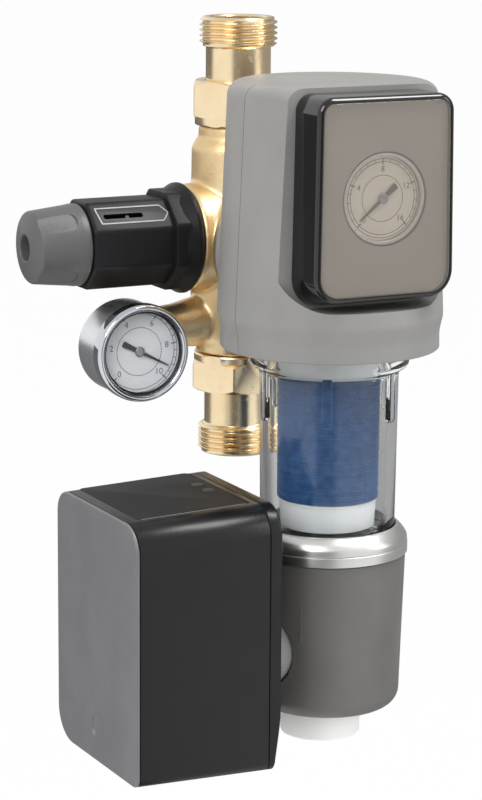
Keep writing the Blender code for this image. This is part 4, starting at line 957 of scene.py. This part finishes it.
def drain_fittings():
    """Collar between the drain and the box, and the spout below."""
    collar = lathe("collar", [
        (5.3, -44), (12, -44, 0.3), (12, -40.7), (16.6, -40.7, 0.3), (17.5, -39.8, 0.4), (17.5, -22, 0.4),
        (13.3, -22, 0.3), (13.3, -27), (5.3, -27)], "X", VALVE_AXIS)
    ready(collar, "lower_unit", "collar_grey", "collar_grey", "coupling_collar")
    spout = lathe("spout", [
        (6.5, -165.8), (11.0, -165.8), (11.0, DRAIN_BOTTOM - GAP), (16.5, DRAIN_BOTTOM - GAP, 0.5),
        (16.5, SPOUT_BOTTOM, 1.1), (7.2, SPOUT_BOTTOM, 0.6), (6.5, SPOUT_BOTTOM + 0.9)],
        centre=(VALVE_X, AXIS_Y, 0))
    ready(spout, "lower_unit", "spout_white", "spout_white", "drain_spout")


# Battery box

def box_outline(inset=0.0, top_extra=0.0):
    """Box from its side; top_extra leaves more wall under the keys."""
    y0, y1 = BOX_FRONT + inset, BOX_REAR - inset
    z0, z1 = BOX_BOTTOM + inset, BOX_TOP - inset - top_extra
    return [(y0, z0, max(1.5, 4 - inset)), (y1, z0, 14 - inset), (y1, z1, 10 - inset), (y0, z1, 12 - inset)]


def draft(x, y, z):
    """Leans top and bottom of the box towards each other on the left."""
    share = (z - BOX_BOTTOM) / (BOX_TOP - BOX_BOTTOM)
    lean = BOTTOM_DRAFT + (TOP_DRAFT - BOTTOM_DRAFT) * share
    return x, y, z + lean * (x - BOX_RIGHT)


def slant(wall):
    """Space under the slanted lower end of the back cover."""
    right, top, low = BOX_RIGHT - wall, VALVE_Z - 16, BOX_BOTTOM - 9
    return slab("slant", [(right, top), (right + 9, top), (right + 9, low), (right - 4.6, low)],
                BOX_FRONT - 9, BOX_REAR + 9, "Y")


def key_outline(across, along, ease):
    """Key panel from above, grown across and along the box."""
    x0, x1, y0, y1 = KEY_PANEL
    return rectangle(x0 - across, x1 + across, y0 - along, y1 + along, ease)


def box_body():
    """Box with a bay for the cells, one for the gears, and the keys' room."""
    body = slab("box_body", box_outline(), LID_X, BACK_X, "X", 0.25, 0.25, 16, 2)
    inner = box_outline(BOX_WALL, 1.6)
    cut(body, slab("battery_bay", inner, LID_X - 2, BAY_X, "X"),
        slab("gear_bay", inner, BAY_X + 2, BACK_X + 2, "X"))
    join(body, rod(3.0, -70.5, -49.6, "X", VALVE_AXIS))
    cut(body, slab("key_room", key_outline(0.3, 0.3, 2.3), BOX_TOP - 1.6, BOX_TOP + 9))
    for x, y in BUTTONS:
        cut(body, rod(1.9, -100, -80, centre=(x, y, 0)))
    ready(reshape(body, draft), "lower_unit", "box_black", "box_black", "actuator_body")


def battery_cover():
    """Thin cover with a thumb recess, and a plug that fits the box."""
    lid = slab("battery_lid", box_outline(), BOX_LEFT, LID_X - GAP, "X", 0.6, 0.2, 16, 4)
    join(lid, slab("plug", box_outline(BOX_WALL + GAP, 1.6), LID_X - GAP - 0.5, LID_X + 2, "X", 0, 0.3, 16))
    thumb = lathe("thumb", [(0, -1.3), (5.6, -1.3, 0.5), (6.6, 0.3), (6.6, 3), (0, 3)], "X")
    cut(lid, moved(spun(thumb, 180, "Z", (0, 0, 0)), (BOX_LEFT, *THUMB_SPOT)))
    # Lighter grey finish on the black cover: painted sheen
    ready(reshape(lid, draft), "battery_cover", "box_black", "box_lid_painted_sheen", "actuator_battery_cover")


def back_cover():
    back = slab("back_cover", box_outline(), BACK_X + GAP, BOX_RIGHT, "X", 0.25, 1.2, 16, 4)
    hollow = slab("hollow", box_outline(BOX_WALL, 1.6), BACK_X - 2, BOX_RIGHT - 2.4, "X")
    cut(hollow, slant(BOX_WALL))
    cut(back, hollow, rod(12.3, -60, -30, "X", VALVE_AXIS, ROUND), slant(0.0))
    ready(reshape(back, draft), "lower_unit", "box_black", "box_black", "actuator_back_cover")


def keys():
    """Key panel, a thin light strip along its front edge that is a painted glint, and two buttons."""
    panel = slab("key_panel", key_outline(0, 0, 2), BOX_TOP - 1.3, BOX_TOP, ease_high=0.2)
    for x, y in BUTTONS:
        cut(panel, rod(3.0, -100, -80, centre=(x, y, 0)))
    ready(reshape(panel, draft), "lower_unit", "box_black", "key_dark", "actuator_key_panel")
    # Painted glint: a pale strip where the panel's front edge catches the light
    line = slab("key_edge_painted_glint", key_outline(-0.6, -0.4, 1.6), BOX_TOP - 0.1, BOX_TOP + 0.06)
    cut(line, slab("inside", key_outline(-1.0, -0.8, 1.3), BOX_TOP - 2, BOX_TOP + 2))
    cut(line, block(-120, 0, -110.35, 0, BOX_TOP - 3, BOX_TOP + 3))
    ready(reshape(line, draft), "lower_unit", "spine_white", "painted_edge_highlight")
    for n, (x, y) in enumerate(BUTTONS):
        surface = draft(x, y, BOX_TOP)[2]
        name = "button_%d" % (n + 1)
        button = lathe(name, [
            (0, surface - 5), (1.5, surface - 5), (1.5, surface - 0.7), (2.7, surface - 0.7),
            (2.7, surface + 0.3, 0.3), (0, surface + 0.6)], centre=(x, y, 0), steps=SMALL_ROUND)
        ready(button, name, "knob_plastic", "key_grey", "actuator_" + name)


# Pieces that keep the solids' own form

CARRIED = {
    "rubber": ("upper_union_gasket", "lower_union_gasket", "flange_gasket", "bowl_seal",
               "regulator_piston"),
    "steel": ("flange_screw_1", "flange_screw_2", "regulator_spring", "stack_spring", "core_nut",
              "flush_stem", "actuator_motor"),
    "turned_brass": ("inlet_gauge_stem", "outlet_gauge_stem", "regulator_poppet", "actuator_pinion"),
    "core_dark": ("head_core", "flush_valve_body"),
    "spindle_dark": ("regulator_spindle", "regulator_spring_plate"),
    "ptfe": ("flush_upper_seat", "flush_lower_seat"), "chrome": ("flush_ball",),
    "board_green": ("actuator_board",), "gear_acetal": ("actuator_wheel",), "cell_wrap": ("battery_pack",),
}


def dress_carried():
    for look, nodes in CARRIED.items():
        for node in nodes:
            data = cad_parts[node].data
            data.materials.clear()
            data.materials.append(FINISHES[look])


# Studio

# Bearing in degrees, seen from above, and the light that comes from there:
# bright in front and on the left, dark between and on the right
WALL_LIGHT = (
    (-180, 0.95), (-141, 0.95), (-133, 0.2), (-108, 0.2), (-100, 0.95), (-42, 0.95), (-34, 0.3), (56, 0.3),
    (80, 0.95), (180, 0.95))
FLOOR_LIGHT = (
    (-180, 1.0), (-141, 1.0), (-133, 0.2), (-108, 0.2), (-100, 0.9), (-42, 0.9), (-34, 0.3), (58, 0.3),
    (70, 0.5), (82, 0.1), (136, 0.1), (144, 1.0), (180, 1.0))


def room_effect(name, bearings):
    """Light for each bearing around the object."""
    tree, given, out = effect(name, {"Direction": (0, 0, 0)}, {"Light": "Color"})
    split = add(tree, "SeparateXYZ", {0: given["Direction"]}).outputs
    bearing = maths(tree, "ARCTAN2", split["Y"], split["X"])
    panels = add(tree, "ValToRGB", {"Fac": spread(tree, bearing, -math.pi, math.pi)})
    stops = panels.color_ramp.elements
    stops.remove(stops[1])
    for n, (degrees, level) in enumerate(bearings):
        stop = stops[0] if n == 0 else stops.new((degrees + 180) / 360)
        stop.color = (level, level, level, 1)
    feed(tree, out, {"Light": panels.outputs["Color"]})
    return tree


WALLS = room_effect("walls", WALL_LIGHT)
GROUND = room_effect("ground", FLOOR_LIGHT)
WHITE = (1, 1, 1, 1)
FLOOR_Z = -0.42
FLOOR_WHITE = 0.96
FLOOR_MIRROR = 0.9

# The camera is fitted to the photo; lamps have a place, an aim, a size and watts
CAMERA_PLACE = (-0.5448, -1.0801, 0.1820)
CAMERA_LENS = 127.72
CAMERA_BEARING = -26.868
CAMERA_DIP = 11.864
CAMERA_ROLL = 0.397
LAMPS = (
    ("key", (-1.3, -0.9, 1.1), (0, -0.05, -0.05), (0.9, 0.9), 14),
    ("side", (1.5, -1.1, 0.5), (0, -0.05, -0.05), (0.35, 1.2), 6),
    ("top", (0.52, -0.38, 1.15), (-0.03, -0.08, -0.05), (0.55, 0.55), 12),
)


def seen(tree, ray):
    """One where the camera looks, also through glass."""
    return maths(tree, "MAXIMUM", ray["Is Camera Ray"], ray["Is Transmission Ray"])


def camera(scene):
    """The photo's view: the camera turned, dipped and rolled, in degrees."""
    made = in_scene("camera", bpy.data.cameras.new("camera"))
    made.data.lens = CAMERA_LENS
    made.data.sensor_width = 36
    made.data.clip_start = 0.01
    made.data.clip_end = 100
    view = Matrix.Translation(CAMERA_PLACE)
    for angle, axis in ((CAMERA_BEARING, "Z"), (90 - CAMERA_DIP, "X"), (CAMERA_ROLL, "Z")):
        view = view @ Matrix.Rotation(math.radians(angle), 4, axis)
    made.matrix_world = view
    scene.camera = made


def backdrop(scene):
    """White where the camera looks, and the room's panels in reflections."""
    scene.world = bpy.data.worlds.new("studio")
    scene.world.use_nodes = True
    tree = scene.world.node_tree
    spot = add(tree, "TexCoord").outputs["Generated"]
    room = add(tree, "Group", {"Direction": spot}, node_tree=WALLS).outputs["Light"]
    height = spread(tree, add(tree, "SeparateXYZ", {0: spot}).outputs["Z"], 0.3, 0.9)
    level = mixed(tree, height, room, (0.7, 0.7, 0.7, 1))
    shown = mixed(tree, seen(tree, add(tree, "LightPath").outputs), level, WHITE)
    feed(tree, tree.nodes["Background"].inputs, {"Color": shown})


def pale_floor():
    """Pale floor that keeps a faint shadow and mirrors as the room does."""
    bm = bmesh.new()
    bmesh.ops.create_grid(bm, x_segments=1, y_segments=1, size=8.0)
    bmesh.ops.translate(bm, vec=(0, 0, FLOOR_Z), verts=bm.verts)
    floor = placed("floor", bm)
    paint = bpy.data.materials.new("floor_paint")
    paint.use_nodes = True
    tree = paint.node_tree
    shader = tree.nodes["Principled BSDF"]
    feed(tree, shader.inputs, {"Base Color": (0.82, 0.82, 0.82, 1), "Roughness": 0.8})
    ray = add(tree, "LightPath").outputs
    glow = add(tree, "Emission", {"Color": WHITE, "Strength": 1.0})
    share = maths(tree, "MULTIPLY", seen(tree, ray), FLOOR_WHITE)
    blend = add(tree, "MixShader", {0: share, 1: shader.outputs[0], 2: glow.outputs[0]})
    spot = add(tree, "TexCoord").outputs["Object"]
    room = add(tree, "Group", {"Direction": spot}, node_tree=GROUND)
    mirrored = add(tree, "Emission", {"Color": room.outputs["Light"], "Strength": 1.0})
    gloss = maths(tree, "MULTIPLY", ray["Is Glossy Ray"], FLOOR_MIRROR)
    both = add(tree, "MixShader", {0: gloss, 1: blend.outputs[0], 2: mirrored.outputs[0]})
    feed(tree, tree.nodes["Material Output"].inputs, {"Surface": both.outputs[0]})
    floor.data.materials.append(paint)


def lamps():
    for name, place, aim, size, power in LAMPS:
        light = bpy.data.lights.new(name, "AREA")
        light.shape = "RECTANGLE"
        light.size, light.size_y = size
        light.energy = power
        lamp = in_scene(name, light)
        lamp.location = place
        lamp.rotation_euler = (Vector(aim) - Vector(place)).to_track_quat("-Z", "Y").to_euler()


def studio(scene):
    """The photo's view and its white surroundings."""
    scene.view_settings.view_transform = "Standard"
    camera(scene)
    backdrop(scene)
    pale_floor()
    lamps()


pipe_tail("upper", *UPPER_NUT)
pipe_tail("lower", *LOWER_NUT)
union_nut("upper", *UPPER_NUT)
union_nut("lower", *LOWER_NUT)
cast_body()
regulator_bonnet()
regulator_knob()
outlet_gauge()
inlet_gauge()
head_covers()
display()
spine()
discs()
pressing_cap()
clear_bowl()
ring_and_drain()
drain_fittings()
box_body()
battery_cover()
back_cover()
keys()
dress_carried()
studio(bpy.context.scene)
